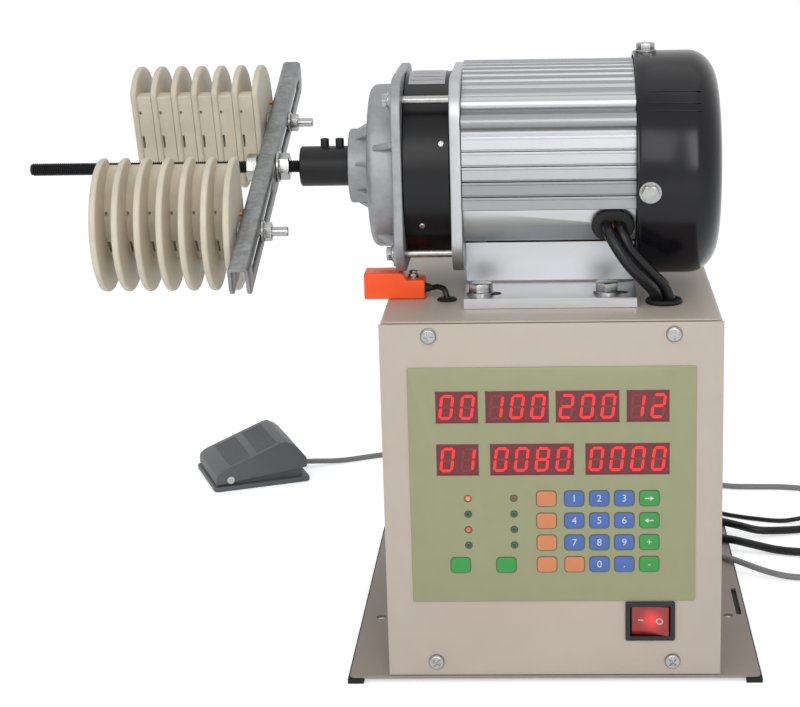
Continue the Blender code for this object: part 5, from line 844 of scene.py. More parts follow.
flatBar = oneBar(figure["width"] - 0.0005)
tallBar = oneBar(figure["height"] / 2 - 0.0005)
lean = Matrix(((1, math.tan(figure["slant"]), 0, 0), (0, 1, 0, 0), (0, 0, 1, 0), (0, 0, 0, 1)))
glassFront = overlayFront + 0.00025
for x, high, text in displays:
    wide = len(text) * overlay["pitch"]
    z = boxFoot + high
    windowTools.append(slabY(rectLoop(wide, overlay["windowHeight"]), overlayFront - 0.002,
                             panelFront + 0.001, x, z))
    glasses.append(slabY(rectLoop(wide - 0.0002, overlay["windowHeight"] - 0.0002), glassFront,
                         panelFront + 0.001, x, z))
    tall = overlay["windowHeight"]
    for sx, sz, w, h in ((0, 1, wide + 0.0010, 0.0006), (0, -1, wide + 0.0010, 0.0006),
                         (1, 0, 0.0006, tall), (-1, 0, 0.0006, tall)):
        rims.append(brick((w, 0.0003, h), upFrom(x + sx * wide / 2, overlayFront, z + sz * tall / 2),
                          0.0001, 1))
    for place, letter in enumerate(text):
        dx = x + (place - (len(text) - 1) / 2) * overlay["pitch"]
        base = alongY(dx, glassFront - 0.00004, z)
        for key, (sx, sy, stands) in segmentPlaces().items():
            turn = spun(quarterTurn if stands else 0)
            bar = copyOf(tallBar if stands else flatBar, base @ lean @ upFrom(sx, sy, 0) @ turn)
            (lit if key in segmentSet[letter] else unlit).append(bar)
        dot = copyOf(flatBar, base @ upFrom(figure["width"] / 2 + 0.0021, -figure["height"] / 2, 0)
                     @ Matrix.Diagonal((0.2, 0.8, 1, 1)))
        unlit.append(dot)
dropIt(flatBar, tallBar)
cutWith(film, joinAll(*windowTools))
for column, row, x, z in lampSpots:
    cutWith(film, disc(lamp["hole"], -0.003, 0.003, alongY(x, overlayFront, z), 20))
finished(film, "keypad_film", "base", filmGreen, ("keypad_overlay",))
finished(joinAll(*glasses), "display_windows", "base", windowRed)
finished(joinAll(*rims), "display_borders", "base", windowRim)
finished(joinAll(*lit), "display_figures", "base", digitLit)
finished(joinAll(*unlit), "display_unlit_bars", "base", digitDark)

lampFinish = {(0, 0): lampLit, (0, 2): lampSoft, (1, 0): lampBrown}
for column, row, x, z in lampSpots:
    bulb = lathe([(0, -0.003), (lamp["radius"], -0.003), (lamp["radius"], 0.0003), (0.0016, 0.0006),
                  (0.0011, 0.00088), (0.0005, 0.0010), (0, 0.00102)], alongY(x, overlayFront + 0.0005, z), 24)
    finished(bulb, "lamp_%d_%d" % (column + 1, row + 1), "base",
             lampFinish.get((column, row), lampDark))
rimInside, rimOutside = lamp["rim"]
rings = [disc(rimOutside, 0, 0.00012, alongY(x, overlayFront + 0.00002, z), 28, rimInside)
         for column, row, x, z in lampSpots]
finished(joinAll(*rings), "lamp_rims", "base", keyRim)

keys = {"columns": (-0.0038, 0.0131, 0.0283, 0.0435, 0.0587), "top": 0.1160, "pitch": 0.01417,
        "width": 0.0117, "height": 0.0096, "corner": 0.0022, "proud": 0.0005,
        "lone": (-0.0568, -0.0287), "loneHigh": 0.0733, "textSize": 0.0062}
keyLabels = [["", "", "", ""], ["1", "4", "7", ""], ["2", "5", "8", "0"], ["3", "6", "9", "."],
             ["right", "left", "+", "-"]]
keyCap = slab(roundedLoop(keys["width"], keys["height"], keys["corner"]), 0.0007, upFrom(0, 0, 0.00025),
              0.0003)
keyRing = slab(roundedLoop(keys["width"] + 0.0009, keys["height"] + 0.0009, keys["corner"] + 0.0004), 0.0002,
               upFrom(0, 0, 0.00005))
markDepth = overlayFront - keys["proud"] - 0.00012
caps = {"orange": [], "blue": [], "green": []}
outlines, marks = [], []


def keyText(text, x, z):
    bpy.ops.object.select_all(action="DESELECT")
    bpy.ops.object.text_add(location=(0, 0, 0))
    word = bpy.context.active_object
    word.data.body = text
    word.data.size = keys["textSize"]
    word.data.align_x = "CENTER"
    word.data.align_y = "CENTER"
    word.data.extrude = 0.00003
    return moved(asMesh(word), alongY(x, markDepth, z))


def arrow(x, z, way):
    loop = [(-0.0026, -0.0004), (0.0006, -0.0004), (0.0006, -0.0015), (0.0028, 0), (0.0006, 0.0015),
            (0.0006, 0.0004), (-0.0026, 0.0004)]
    loop = [(along * way, across) for along, across in loop]
    return slab(loop, 0.00008, alongY(x, markDepth, z))


def addKey(tone, x, z):
    caps[tone].append(copyOf(keyCap, alongY(x, overlayFront, z)))
    outlines.append(copyOf(keyRing, alongY(x, overlayFront, z)))


for column, x in enumerate(keys["columns"]):
    for row in range(4):
        z = boxFoot + keys["top"] - row * keys["pitch"]
        tone = "orange" if column == 0 or (column, row) == (1, 3) else "green" if column == 4 else "blue"
        addKey(tone, x, z)
        word = keyLabels[column][row]
        if word in ("right", "left"):
            marks.append(arrow(x, z, 1 if word == "right" else -1))
        elif word:
            marks.append(keyText(word, x, z))
for x in keys["lone"]:
    addKey("green", x, boxFoot + keys["loneHigh"])
dropIt(keyCap, keyRing)
for tone, finish in (("orange", keyOrange), ("blue", keyBlue), ("green", keyGreen)):
    finished(joinAll(*caps[tone]), "keys_" + tone, "base", finish)
finished(joinAll(*outlines), "key_outlines", "base", keyRim)
finished(joinAll(*marks), "key_figures", "base", keyInk)
print("keypad made")


# Rocker switch

switch = {"bezelWidth": 0.0305, "bezelHeight": 0.0255, "proud": 0.002, "bodyWidth": 0.0270,
          "bodyHeight": 0.0216, "wall": 0.0011, "deep": 0.0240, "half": 0.0115, "height": 0.0188,
          "depth": 0.0030, "bulge": 0.0060, "dish": 0.0008, "tilt": math.radians(11), "sink": 0.0006}
bezelFront = panelFront - hair - switch["proud"]
innerWide = switch["bodyWidth"] - 2 * switch["wall"]
innerTall = switch["bodyHeight"] - 2 * switch["wall"]
switchEnd = panelFront + switch["deep"]
bezel = slabY(roundedLoop(switch["bezelWidth"], switch["bezelHeight"], 0.0012), bezelFront,
              panelFront - hair, switchX, switchZ, edge=0.0007, segments=4)
cutWith(bezel, slabY(rectLoop(innerWide, innerTall), bezelFront - 0.002, panelFront + 0.002, switchX,
                     switchZ))
well = slabY(rectLoop(switch["bodyWidth"], switch["bodyHeight"]), bezelFront + switch["wall"],
             switchEnd + switch["wall"], switchX, switchZ, edge=0.0003, segments=2)
cutWith(well, slabY(rectLoop(innerWide, innerTall), bezelFront - 0.002, switchEnd - switch["wall"],
                    switchX, switchZ))
tabs = [brick((0.0008, 0.008, 0.006), upFrom(switchX + s * 0.00675, switchEnd + 0.004, switchZ), 0.0002, 1)
        for s in (-1, 1)]
finished(joinAll(bezel, well, *tabs), "switch_bezel", "base", plasticBlack,
         ("switch_frame",))

rockerFace = upFrom(switchX, panelFront - switch["sink"], switchZ) @ spun(-switch["tilt"])
rockerLoop = [(-switch["half"], -switch["depth"])]
for i in range(13):
    share = i / 6 - 1
    rockerLoop.append((switch["half"] * share, switch["dish"] * (2 * share * share - 1)))
rockerLoop += [(switch["half"], -switch["depth"]), (switch["half"] / 2, -switch["bulge"]),
               (-switch["half"] / 2, -switch["bulge"])]
rocker = slab(rockerLoop, switch["height"], rockerFace @ spun(math.pi, "X"), 0.0004)
finished(rocker, "rocker_lens", "rocker", lensRed, ("rocker",))
stroke = brick((0.0034, 0.0001, 0.0007), rockerFace @ upFrom(-0.0058, -0.00010, 0), 0.00003, 1)
ringMark = disc(0.0021, 0, 0.00012, rockerFace @ facing((0.0058, -0.00004, 0), (0, -1, 0)), 28, 0.0015)
finished(joinAll(ringMark, stroke), "rocker_marks", "rocker", keyInk)
print("switch made")


# Motor body: the ribbed extrusion on its pedestal

body = {"left": -0.0530, "right": 0.0525, "top": 0.0655, "front": 0.0605, "bore": 0.0520,
        "landTop": 0.0275, "landFoot": -0.0190, "lands": 5, "groove": 0.0012, "deep": 0.0022,
        "rolls": ((0.0565, 0.0345), (0.0480, 0.0440)), "rollRadius": 0.0052, "ribs": 7, "ribDepth": 0.0032,
        "topEdge": (0.0420, 0.0530), "recess": 0.0530, "recessFoot": -0.0400, "pedestal": 0.0240,
        "wall": 0.0050, "roof": -0.0580, "foot": 0.0700, "footFlange": 0.0060, "sole": hair - 0.078,
        "boltX": (-0.0430, 0.0345), "boltInset": 0.0150, "cableX": 0.0385, "cableDrop": 0.0300,
        "cableHole": 0.0102}
bodyBolts = [(x, s, axisY + s * (body["foot"] - body["boltInset"])) for x in body["boltX"] for s in (-1, 1)]


def bodyLoop():
    half = []
    edge, crown = body["topEdge"]
    ribShape = ((0, 0), (0.36, 0), (0.45, 0.15), (0.53, 0.85), (0.60, 1), (0.84, 1), (0.92, 0.85))
    for rib in range(body["ribs"]):
        for share, drop in ribShape:
            out = (rib + share) * (edge / body["ribs"])
            half.append((out, body["top"] - (body["top"] - crown) * (out / edge) ** 2
                         - drop * body["ribDepth"]))
    half.append(body["topEdge"])
    for x, z in reversed(body["rolls"]):
        half += arc(x, z, body["rollRadius"], math.atan2(z, x) + math.radians(85), -math.radians(170), 12)
    pitch = (body["landTop"] - body["landFoot"]) / body["lands"]
    g, deep, front = body["groove"], body["deep"], body["front"]
    for land in range(body["lands"]):
        z = body["landTop"] - land * pitch
        half += [(front - deep, z), (front - deep, z - g * 0.8), (front - 0.0007, z - g * 0.95),
                 (front - 0.0002, z - g * 1.15), (front, z - g * 1.5),
                 (front, z - g * 2.0), (front - 0.0006, z - g * 2.1), (front - 0.0006, z - g * 2.45),
                 (front, z - g * 2.55), (front, z - pitch + 0.0004), (front - 0.0004, z - pitch)]
    half += [(body["recess"], body["landFoot"] - g),
             (body["recess"] - deep, (body["recessFoot"] + body["landFoot"]) / 2),
             ((front + body["pedestal"]) / 2, body["recessFoot"] - g)]
    stem, foot, sole = body["pedestal"], body["foot"], body["sole"]
    neck, flangeTop = body["recessFoot"] - 2 * g, sole + body["footFlange"]
    half += [(stem + 0.0015, neck), (stem, neck - 0.0015), (stem, flangeTop + 0.0012),
             (stem + 0.0012, flangeTop), (foot - 0.0006, flangeTop), (foot, flangeTop - 0.0006),
             (foot, sole), (stem - body["wall"], sole), (stem - body["wall"], body["roof"])]
    return [(-y, z) for y, z in half] + list(reversed(half[1:]))


housing = slabX(bodyLoop(), body["left"], body["right"])
cutWith(housing, slabX(ringLoop(body["bore"], 96), body["left"] - 0.001, body["right"] + 0.001),
        disc(body["cableHole"], -0.03, 0.03,
             alongY(body["cableX"], axisY - body["front"], axisZ - body["cableDrop"]), 40))
for x, s, y in bodyBolts:
    cutWith(housing, slabZ(slotLoop(0.0200, 0.0090), boxTop - 0.002, boxTop + 0.010, x + 0.0030, y))
finished(housing, "motor_extrusion", "base", extrusion, ("motor_body",), 25)
foots = [copyOf(footBolt, upFrom(x, y, boxTop + hair + body["footFlange"])
                @ spun(0.4 + x * 30 + s)) for x, s, y in bodyBolts]
finished(joinAll(*foots), "foot_bolts", "base", zincBright)
grommet = lathe([(0.0035, -0.006), (0.0100, -0.006), (0.0100, 0.0005), (0.0112, 0.0008), (0.0118, 0.0018),
                 (0.0112, 0.0030), (0.0096, 0.0036), (0.0070, 0.0032), (0.0040, 0.0030)],
                alongY(body["cableX"], axisY - body["recess"] - 0.0005, axisZ - body["cableDrop"])
                @ Matrix.Diagonal((1.12, 0.88, 1, 1)), 48)
finished(grommet, "motor_cable_grommet", "base", rubberBlack)
print("motor body made")


# Gear casing, its flanges, and the cast front housing

flange = {"half": 0.0605, "corner": 0.0240, "ties": 0.0475, "tieHole": 0.0029}
ties = [(sy * flange["ties"], sz * flange["ties"]) for sy in (-1, 1) for sz in (-1, 1)]


def squareFlange(left, right, bore, edge, drilled=True):
    span = 2 * flange["half"]
    plate = slabX(roundedLoop(span, span, flange["corner"], 12), left, right, edge=edge, segments=4)
    cutWith(plate, slabX(ringLoop(bore, 96), left - 0.001, right + 0.001))
    if drilled:
        for y, z in ties:
            cutWith(plate, slabX(ringLoop(flange["tieHole"], 20), left - 0.001, right + 0.001,
                                 axisY + y, axisZ + z))
    return plate


finished(squareFlange(-0.0603, -0.0533, 0.0163, 0.0009), "gearbox_back_flange", "base",
         flangeBright, ("mid_flange",))
casing = latheX([(-0.0892, 0.0585), (-0.0887, 0.0590), (-0.0611, 0.0590), (-0.0606, 0.0585),
                 (-0.0606, 0.0140), (-0.0646, 0.0140), (-0.0646, 0.0540), (-0.0892, 0.0540)], 128)
finished(casing, "gear_shell", "base", casingBlack, ("gear_casing",))


def onDrum(x, angle, radius):
    # a point on a drum round the spindle's axis, level with it in front at 0, and its way out
    out = Vector((0, -math.cos(math.radians(angle)), math.sin(math.radians(angle))))
    return Vector((x, axisY, axisZ)) + out * radius, out


def lyingOn(x, angle, radius):
    # a place there, with its length along X
    point, out = onDrum(x, angle, radius)
    return Matrix.Translation(point) @ Matrix(((1, 0, 0), (0, out.z, -out.y), out)).transposed().to_4x4()


casingScrews = [copyOf(smallScrew, facing(*onDrum(x, angle, 0.0588)))
                for x, angle in ((-0.0655, 21.5), (-0.0690, -66), (-0.0785, -30))]
finished(joinAll(*casingScrews), "casing_screws", "base", zincBright)

# a label on the casing, left bare but for its ruled lines
label = {"radius": 0.05935, "thick": 0.0003, "left": -0.0865, "right": -0.0640, "from": 70, "sweep": 44,
         "rules": ((104, 0.0195), (97, 0.0165), (90, 0.0165), (83, 0.0165), (76, 0.0165), (71, 0.0195))}
labelFrom, labelSweep = math.radians(label["from"]), math.radians(label["sweep"])
labelLoop = (arc(0, 0, label["radius"], labelFrom + labelSweep, -labelSweep, 14)
             + arc(0, 0, label["radius"] - label["thick"], labelFrom, labelSweep, 14))
finished(slabX(labelLoop, label["left"], label["right"]), "bare_label", "base", labelSilver)
rules = [brick((length, 0.0004, 0.00008), lyingOn((label["left"] + label["right"]) / 2, angle,
                                                  label["radius"] + 0.00002))
         for angle, length in label["rules"]]
finished(joinAll(*rules), "label_rules", "base", keyRim)

shoulder = {"x": -0.1074, "radius": 0.0465, "round": 0.0048}
outside = [(-0.1263, 0.0088), (-0.1263, 0.0225), (-0.1258, 0.0233), (-0.1250, 0.0235), (-0.1160, 0.0235),
           (-0.1143, 0.0240), (-0.1135, 0.0256), (-0.1131, 0.0290), (-0.1123, 0.0440)]
outside += arc(shoulder["x"], shoulder["radius"], shoulder["round"], math.pi, -quarterTurn, 8, 1)
dome = latheX(outside + [(-0.0960, 0.0516), (-0.0920, 0.0516), (-0.0920, 0.0470), (-0.1059, 0.0470),
                         (-0.1080, 0.0450), (-0.1087, 0.0260), (-0.1087, 0.0190), (-0.1220, 0.0190),
                         (-0.1220, 0.0088)], 128)
frontFlange = squareFlange(-0.0955, -0.0895, 0.0490, 0.0010, False)
webLoop = [(0.0490, -0.1078), (0.0512, -0.1082), (0.0600, -0.0968), (0.0600, -0.0945), (0.0490, -0.0945)]
finLoop = [(0.0225, -0.1210), (0.0236, -0.1214), (0.0285, -0.1130), (0.0285, -0.1105), (0.0225, -0.1105)]
gussets = []
for angles, loop, thick, edge in (((21, 159, 230, 310), webLoop, 0.0040, 0.0010),
                                  (range(169, 529, 45), finLoop, 0.0022, 0.0006)):
    for angle in angles:
        place = alongX(0) @ spun(math.radians(angle))
        gussets.append(slab(loop, thick, place @ spun(quarterTurn, "X"), edge))
bosses = [lathe([(0, -0.0966), (0.0076, -0.0966), (0.0080, -0.0962), (0.0082, -0.0950), (0, -0.0950)],
                alongX(0, axisY + y, axisZ + z), 40) for y, z in ties]
cast = joinAll(dome, frontFlange, *gussets, *bosses)
finished(cast, "cast_housing", "base", castGrey, ("front_housing",))
rods = []
for y, z in ties:
    rods.append(copyOf(tieBolt, facing((-0.0966, axisY + y, axisZ + z), (-1, 0, 0))
                       @ spun(y * 20)))
    rods.append(lathe([(0, -0.0925), (0.0024, -0.0925), (0.0025, -0.0920), (0.0025, -0.0535), (0, -0.0535)],
                      alongX(0, axisY + y, axisZ + z), 24))
for y, z in ringLoop(0.0178, 12)[1::2]:
    # flat screws of the bearing cover round the hub
    rods.append(copyOf(smallScrew, facing((-0.1263, axisY + y, axisZ + z), (-1, 0, 0))
                       @ Matrix.Diagonal((1, 1, 0.35, 1))))
finished(joinAll(*rods), "tie_bolts", "base", zincBright)
print("gearbox made")


# Rear cap: a deep pressed cover in gloss black

cap = {"left": 0.0528, "right": 0.1050, "radius": 0.0700, "face": 0.0480, "shoulder": 0.0180, "wall": 0.0025,
       "beads": (46.5, 39.5, 35.0), "beadFrom": 0.0600, "beadTo": 0.0920, "boltX": 0.0605}
capTurn, capInside = cap["right"] - cap["shoulder"], cap["right"] - cap["wall"]
capProfile = [(cap["right"], 0), (cap["right"], cap["face"])]
capProfile += arc(capTurn, cap["face"], cap["shoulder"], 0, quarterTurn, 16, 1, cap["radius"] - cap["face"])
capProfile += [(0.0562, cap["radius"]), (0.0556, cap["radius"] - 0.0004), (0.0552, cap["radius"] - 0.0004),
               (0.0546, cap["radius"]), (0.0531, cap["radius"]), (cap["left"], cap["radius"] - 0.0003),
               (cap["left"], cap["radius"] - cap["wall"])]
capProfile += arc(capTurn, cap["face"], cap["shoulder"] - cap["wall"], quarterTurn, -quarterTurn, 12, 0,
                  cap["radius"] - cap["wall"] - cap["face"])
capProfile += [(capInside, 0.0188), (0.0930, 0.0188), (0.0930, 0.0163), (capInside, 0.0163), (capInside, 0)]
# pressed beads along the side: one line, and a narrow loop below it
beadMiddle = (cap["beadFrom"] + cap["beadTo"]) / 2
strips = [brick((cap["beadTo"] - cap["beadFrom"], 0.0010, 0.0006),
                lyingOn(beadMiddle, angle, cap["radius"] + 0.00005), 0.00025) for angle in cap["beads"]]
finished(joinAll(latheX(capProfile, 144), *strips), "motor_cap", "base", glossBlack,
         ("rear_cap",))
capScrews = [copyOf(capBolt, facing(*onDrum(cap["boltX"], angle, 0.0698))) for angle in (90, -6, -174)]
finished(joinAll(*capScrews), "cap_bolts", "base", zincBright)
print("cap made")


# Spindle: coupling, threaded rod and its nuts

coupling = latheX([(-0.1580, 0.0044), (-0.1580, 0.0119), (-0.1572, 0.0127), (-0.1276, 0.0127),
                   (-0.1268, 0.0119), (-0.1268, 0.0088), (-0.1457, 0.0088), (-0.1457, 0.0044)], 72)
for x in (-0.1425, -0.1330):
    joinAll(coupling, moved(socketScrew(0.0027, 0.0082), upFrom(x, axisY, axisZ + 0.0095)))
finished(coupling, "spindle_coupling", "spindle", blackSteel, ("shaft_coupling",))

thread = {"pitch": 0.00125, "crest": 0.0041, "root": 0.00342, "left": -0.3312, "right": -0.1480, "steps": 18}
threadTurns = round((thread["right"] - thread["left"]) / thread["pitch"])
# one turn's flanks as an open line, wound up by the screw modifier
flanks = ((thread["root"], 0), (thread["crest"], 0.40), (thread["crest"], 0.55), (thread["root"], 0.93),
          (thread["root"], 1))
screwRod = outlineOf([(radius, 0, share * thread["pitch"]) for radius, share in flanks], "NOTHING")
closing = [e.index for e in screwRod.data.edges if set(e.vertices) == {0, 4}][0]
bpy.ops.object.mode_set(mode="EDIT")
bpy.ops.mesh.select_mode(type="EDGE")
bpy.ops.mesh.select_all(action="DESELECT")
bpy.ops.object.mode_set(mode="OBJECT")
screwRod.data.edges[closing].select = True
bpy.ops.object.mode_set(mode="EDIT")
bpy.ops.mesh.delete(type="EDGE")
bpy.ops.mesh.select_mode(type="VERT")
bpy.ops.object.mode_set(mode="OBJECT")
useModifier(screwRod, "SCREW", steps=thread["steps"], render_steps=thread["steps"], iterations=threadTurns,
            screw_offset=thread["pitch"], angle=2 * math.pi, use_merge_vertices=True,
            merge_threshold=0.000002)
editAll()
bpy.ops.mesh.remove_doubles(threshold=0.000002)
bpy.ops.mesh.fill_holes(sides=0)
bpy.ops.mesh.normals_make_consistent(inside=False)
bpy.ops.object.mode_set(mode="OBJECT")
rodTip = latheX([(-0.3320, 0), (-0.3320, 0.0030), (-0.3312, 0.0036), (-0.3306, 0.0036), (-0.3306, 0)], 32)
finished(joinAll(moved(screwRod, alongX(thread["left"])), rodTip), "spindle_rod", "spindle",
         blackSteel, ("threaded_rod",))
armNuts = [moved(hexHead(0.0150, 0.0065), facing((x, axisY, axisZ), (way, 0, 0))
                 @ spun(angle)) for x, way, angle in ((-0.1716, 1, 0.3), (-0.1859, -1, 0.9))]
armNuts.append(latheX([(-0.1731, 0.0042), (-0.1731, 0.0096), (-0.1729, 0.0098), (-0.1718, 0.0098),
                       (-0.1716, 0.0096), (-0.1716, 0.0042)], 48))
finished(joinAll(*armNuts), "spindle_nuts", "spindle", zincBright)
print("spindle made")


# Cross arm: a slotted channel with ruler marks

arm = {"left": -0.1856, "right": -0.1734, "half": 0.1425, "top": 0.0080, "foot": 0.0120, "wall": 0.0020,
       "endRadius": 0.0080, "slotNear": 0.0220, "slotFar": 0.1280, "slotHalf": 0.0036, "slotDrop": 0.0015}


def onArm(x, out, rise):
    return Vector((x, axisY + out * math.cos(armTilt) - rise * math.sin(armTilt),
                   axisZ + out * math.sin(armTilt) + rise * math.cos(armTilt)))


armWide, wall = arm["right"] - arm["left"], arm["wall"]
outer, inner = [], []
for s, start in ((1, 0), (-1, quarterTurn)):
    x, high = s * (armWide / 2 - wall * 1.3), arm["top"] - wall * 1.3
    outer += arc(x, high, wall * 1.3, start, quarterTurn, 5)
    inner += arc(x, high, wall * 0.3, start, quarterTurn, 5)
section = [(armWide / 2, -arm["foot"])] + outer + [(-armWide / 2, -arm["foot"]),
           (-armWide / 2 + wall, -arm["foot"])] + inner[::-1] + [(armWide / 2 - wall, -arm["foot"])]
# the section lies in X and Z and runs along the arm
armFrame = upFrom((arm["left"] + arm["right"]) / 2, axisY, axisZ) @ spun(armTilt, "X")
channel = slab(section, 2 * arm["half"], armFrame @ alongY(0, 0, 0))


def acrossArm(loop, tilt=armTilt):
    # a tool that goes through the arm from left to right
    return slabX(loop, arm["left"] - 0.002, arm["right"] + 0.002, tilt=tilt)


endLoop = [(arm["half"], arm["top"] + 0.001), (-arm["half"], arm["top"] + 0.001)]
for s, start in ((-1, math.pi), (1, -quarterTurn)):
    endLoop += arc(s * (arm["half"] - arm["endRadius"]), arm["endRadius"] - arm["foot"], arm["endRadius"],
                   start, quarterTurn, 8)
cutWith(channel, acrossArm(endLoop), operation="INTERSECT")
slotLong, slotMiddle = arm["slotFar"] - arm["slotNear"], (arm["slotFar"] + arm["slotNear"]) / 2
for s in (-1, 1):
    cutWith(channel, acrossArm(slotLoop(slotLong, 2 * arm["slotHalf"], s * slotMiddle, -arm["slotDrop"])))
cutWith(channel, acrossArm(ringLoop(0.0045, 32), 0))
roundEdges(channel, 0.00025, 2, 40)
finished(channel, "cross_arm", "spindle", zincDull, ("arm_channel",))
ticks = []
for i in range(-28, 29):
    out = i * 0.005
    long = 0.0042 if i % 2 == 0 else 0.0026
    spot = onArm(arm["left"] + long / 2 + 0.0026, out, arm["top"] + 0.00003)
    ticks.append(brick((long, 0.00035, 0.0001), upFrom(*spot) @ spun(armTilt, "X")))
finished(joinAll(*ticks), "arm_ruler", "spindle", labelSilver)
print("arm made")


# Winding formers: fourteen nylon flanges with their cores

former = {"count": 7, "pitch": 0.0132, "plate": 0.0040, "radius": 0.0405, "flat": 0.0205, "tip": 0.0040,
          "coreDeep": 0.0320, "coreHigh": 0.0312, "coreFlat": 0.0190, "standoff": 0.0022, "front": -0.0740,
          "rear": 0.0580, "bolt": 0.0080, "boltRadius": 0.0029, "flats": 0.0100, "head": 0.0045,
          "nut": 0.0055, "washerRadius": 0.0070, "washer": 0.0012, "tail": 0.0090, "pin": 0.0016,
          "frontPin": -0.0030, "rearPin": 0.0260, "pinRise": 0.0050}
stackRight = arm["left"] - former["standoff"]
stackLeft = stackRight - (former["pitch"] * (former["count"] - 1) + former["plate"])


def bowLoop(centre, s):
    # a disc cut by a flat that faces the spindle, with its two tips rounded
    radius, corner = former["radius"], former["tip"]
    halfAngle = math.pi - math.acos(former["flat"] / radius)
    reach = halfAngle - corner / radius
    points = arc(centre, 0, s * radius, -reach, 2 * reach, 56, 0, radius)
    tip = Vector((radius * math.cos(halfAngle), radius * math.sin(halfAngle)))
    start = Vector((radius * math.cos(reach), radius * math.sin(reach)))
    last = tip - Vector((0, corner))
    shares = [step / 7 for step in range(1, 7)]
    bend = [start * (1 - t) ** 2 + tip * 2 * t * (1 - t) + last * t * t for t in shares] + [last]
    bend = [(centre + s * q.x, q.y) for q in bend]
    return points + bend + [(x, -y) for x, y in reversed(bend)]


def coreLoop(centre, s):
    # flat toward the spindle, and a shallow bow on the far side
    return arc(centre - s * former["coreFlat"], 0, s * former["coreDeep"], -quarterTurn, math.pi, 40, 0,
               former["coreHigh"])


slit = {"long": 0.0090, "wide": 0.0015, "deep": 0.0160, "dot": 0.0022, "fromPlate": 0.0011}
nutLeft = arm["right"] + hair
nutRight = nutLeft + former["washer"] + former["nut"]
for end, centre, pinOut, group in (("front", former["front"], former["frontPin"], "front_formers"),
                                   ("rear", former["rear"], former["rearPin"], "rear_formers")):
    s = 1 if centre > 0 else -1
    plateModel = slab(bowLoop(centre, s), former["plate"], Matrix.Identity(4), 0.0014, 5)
    coreThick = former["pitch"] - former["plate"] - hair + 0.0010
    coreModel = slab(coreLoop(centre, s), coreThick,
                     upFrom(0, 0, former["plate"] / 2 + coreThick / 2 - 0.0010), 0.0004, 2)
    # a slit and a small hole for the wire's end, on the flat side and on the bowed one
    for bowed, high, long in ((1, -0.0090, slit["long"]), (1, 0.0130, slit["dot"]),
                              (0, -0.0010, slit["long"]), (0, 0.0200, slit["dot"])):
        reach = former["coreDeep"] * math.sqrt(1 - (high / former["coreHigh"]) ** 2) if bowed else 0
        cutWith(coreModel, brick((slit["deep"], long, slit["wide"]),
                                 upFrom(centre + s * (reach - former["coreFlat"]), high,
                                        former["plate"] / 2 + slit["fromPlate"]), 0.0003, 2))
    for index in range(former["count"]):
        place = alongX(stackLeft + index * former["pitch"] + former["plate"] / 2, tilt=armTilt)
        piece = copyOf(plateModel, place)
        if index < former["count"] - 1:
            joinAll(piece, copyOf(coreModel, place))
        finished(piece, "%s_winding_former_%d" % (end, index + 1), group, nylonCream,
                 ("%s_former_%d" % (end, index + 1),), 30)
    dropIt(plateModel, coreModel)
    spot = onArm(0, centre + s * pinOut, former["pinRise"])
    pin = disc(former["pin"], stackRight - 0.002, arm["left"] - hair, alongX(0, spot.y, spot.z), 24)
    finished(pin, "%s_copper_pin" % end, group, copperWire)
    spot = onArm(0, centre + s * former["bolt"], -arm["slotDrop"])
    head = moved(hexHead(former["flats"], former["head"], 0.0010, 0.0060),
                 facing((stackLeft - hair, spot.y, spot.z), (-1, 0, 0)) @ Matrix.Diagonal((1, 1, 0.78, 1)))
    nut = moved(hexHead(former["flats"], former["nut"] - 0.0006, former["washer"], former["washerRadius"]),
                facing((nutLeft, spot.y, spot.z), (1, 0, 0)) @ spun(0.5))
    radius, tail = former["boltRadius"], nutRight + former["tail"]
    boltStem = lathe([(0, stackLeft), (radius, stackLeft), (radius, tail - 0.0005), (radius - 0.0005, tail),
                      (0, tail)], alongX(0, spot.y, spot.z), 24)
    spacer = disc(former["washerRadius"], stackRight + hair, arm["left"] - hair, alongX(0, spot.y, spot.z))
    finished(joinAll(head, nut, boltStem, spacer), "%s_stack_bolt" % end, group, zincBright,
             ("%s_former_bolt" % end,))
print("formers made")


# Orange sensor block with its screw and cable

sensor = {"left": -0.1165, "step": -0.0915, "right": -0.0785, "near": panelFront + 0.0575, "deep": 0.0180,
          "high": 0.0166, "low": 0.0120, "screwX": -0.0860}
outline = [(sensor["left"], 0), (sensor["right"], 0), (sensor["right"], sensor["low"]),
           (sensor["step"] + 0.0016, sensor["low"]), (sensor["step"] - 0.0010, sensor["high"]),
           (sensor["left"], sensor["high"])]
sensorFoot = boxTop + hair
block = slabY(outline, sensor["near"], sensor["near"] + sensor["deep"], 0, sensorFoot, edge=0.0009,
              segments=4)
# a groove across its top and a shallow window in its face
cutWith(block, brick((0.0160, 0.0012, 0.0006), upFrom(-0.1035, sensor["near"] + 0.009,
                                                      sensorFoot + sensor["high"])),
        slabY(roundedLoop(0.0150, 0.0085, 0.0012), sensor["near"] - 0.00001, sensor["near"] + 0.0004,
              -0.1035, sensorFoot + 0.0082, edge=0.0001, segments=1))
finished(block, "sensor_block", "base", orangeShell, ("sensor",))
stud = upFrom(sensor["screwX"], sensor["near"] + sensor["deep"] / 2, sensorFoot + sensor["low"])
studPieces = [lathe([(0, 0), (0.0034, 0), (0.0034, 0.0006), (0.0031, 0.0008), (0, 0.0008)], stud, 40),
              moved(hexHead(0.0055, 0.0016), stud @ upFrom(0, 0, 0.0008)),
              moved(hexHead(0.0048, 0.0013), stud @ upFrom(0, 0, 0.0030) @ spun(0.4)),
              peg(0.0014, 0.0046, stud)]
finished(joinAll(*studPieces), "sensor_screw", "base", zincBright)

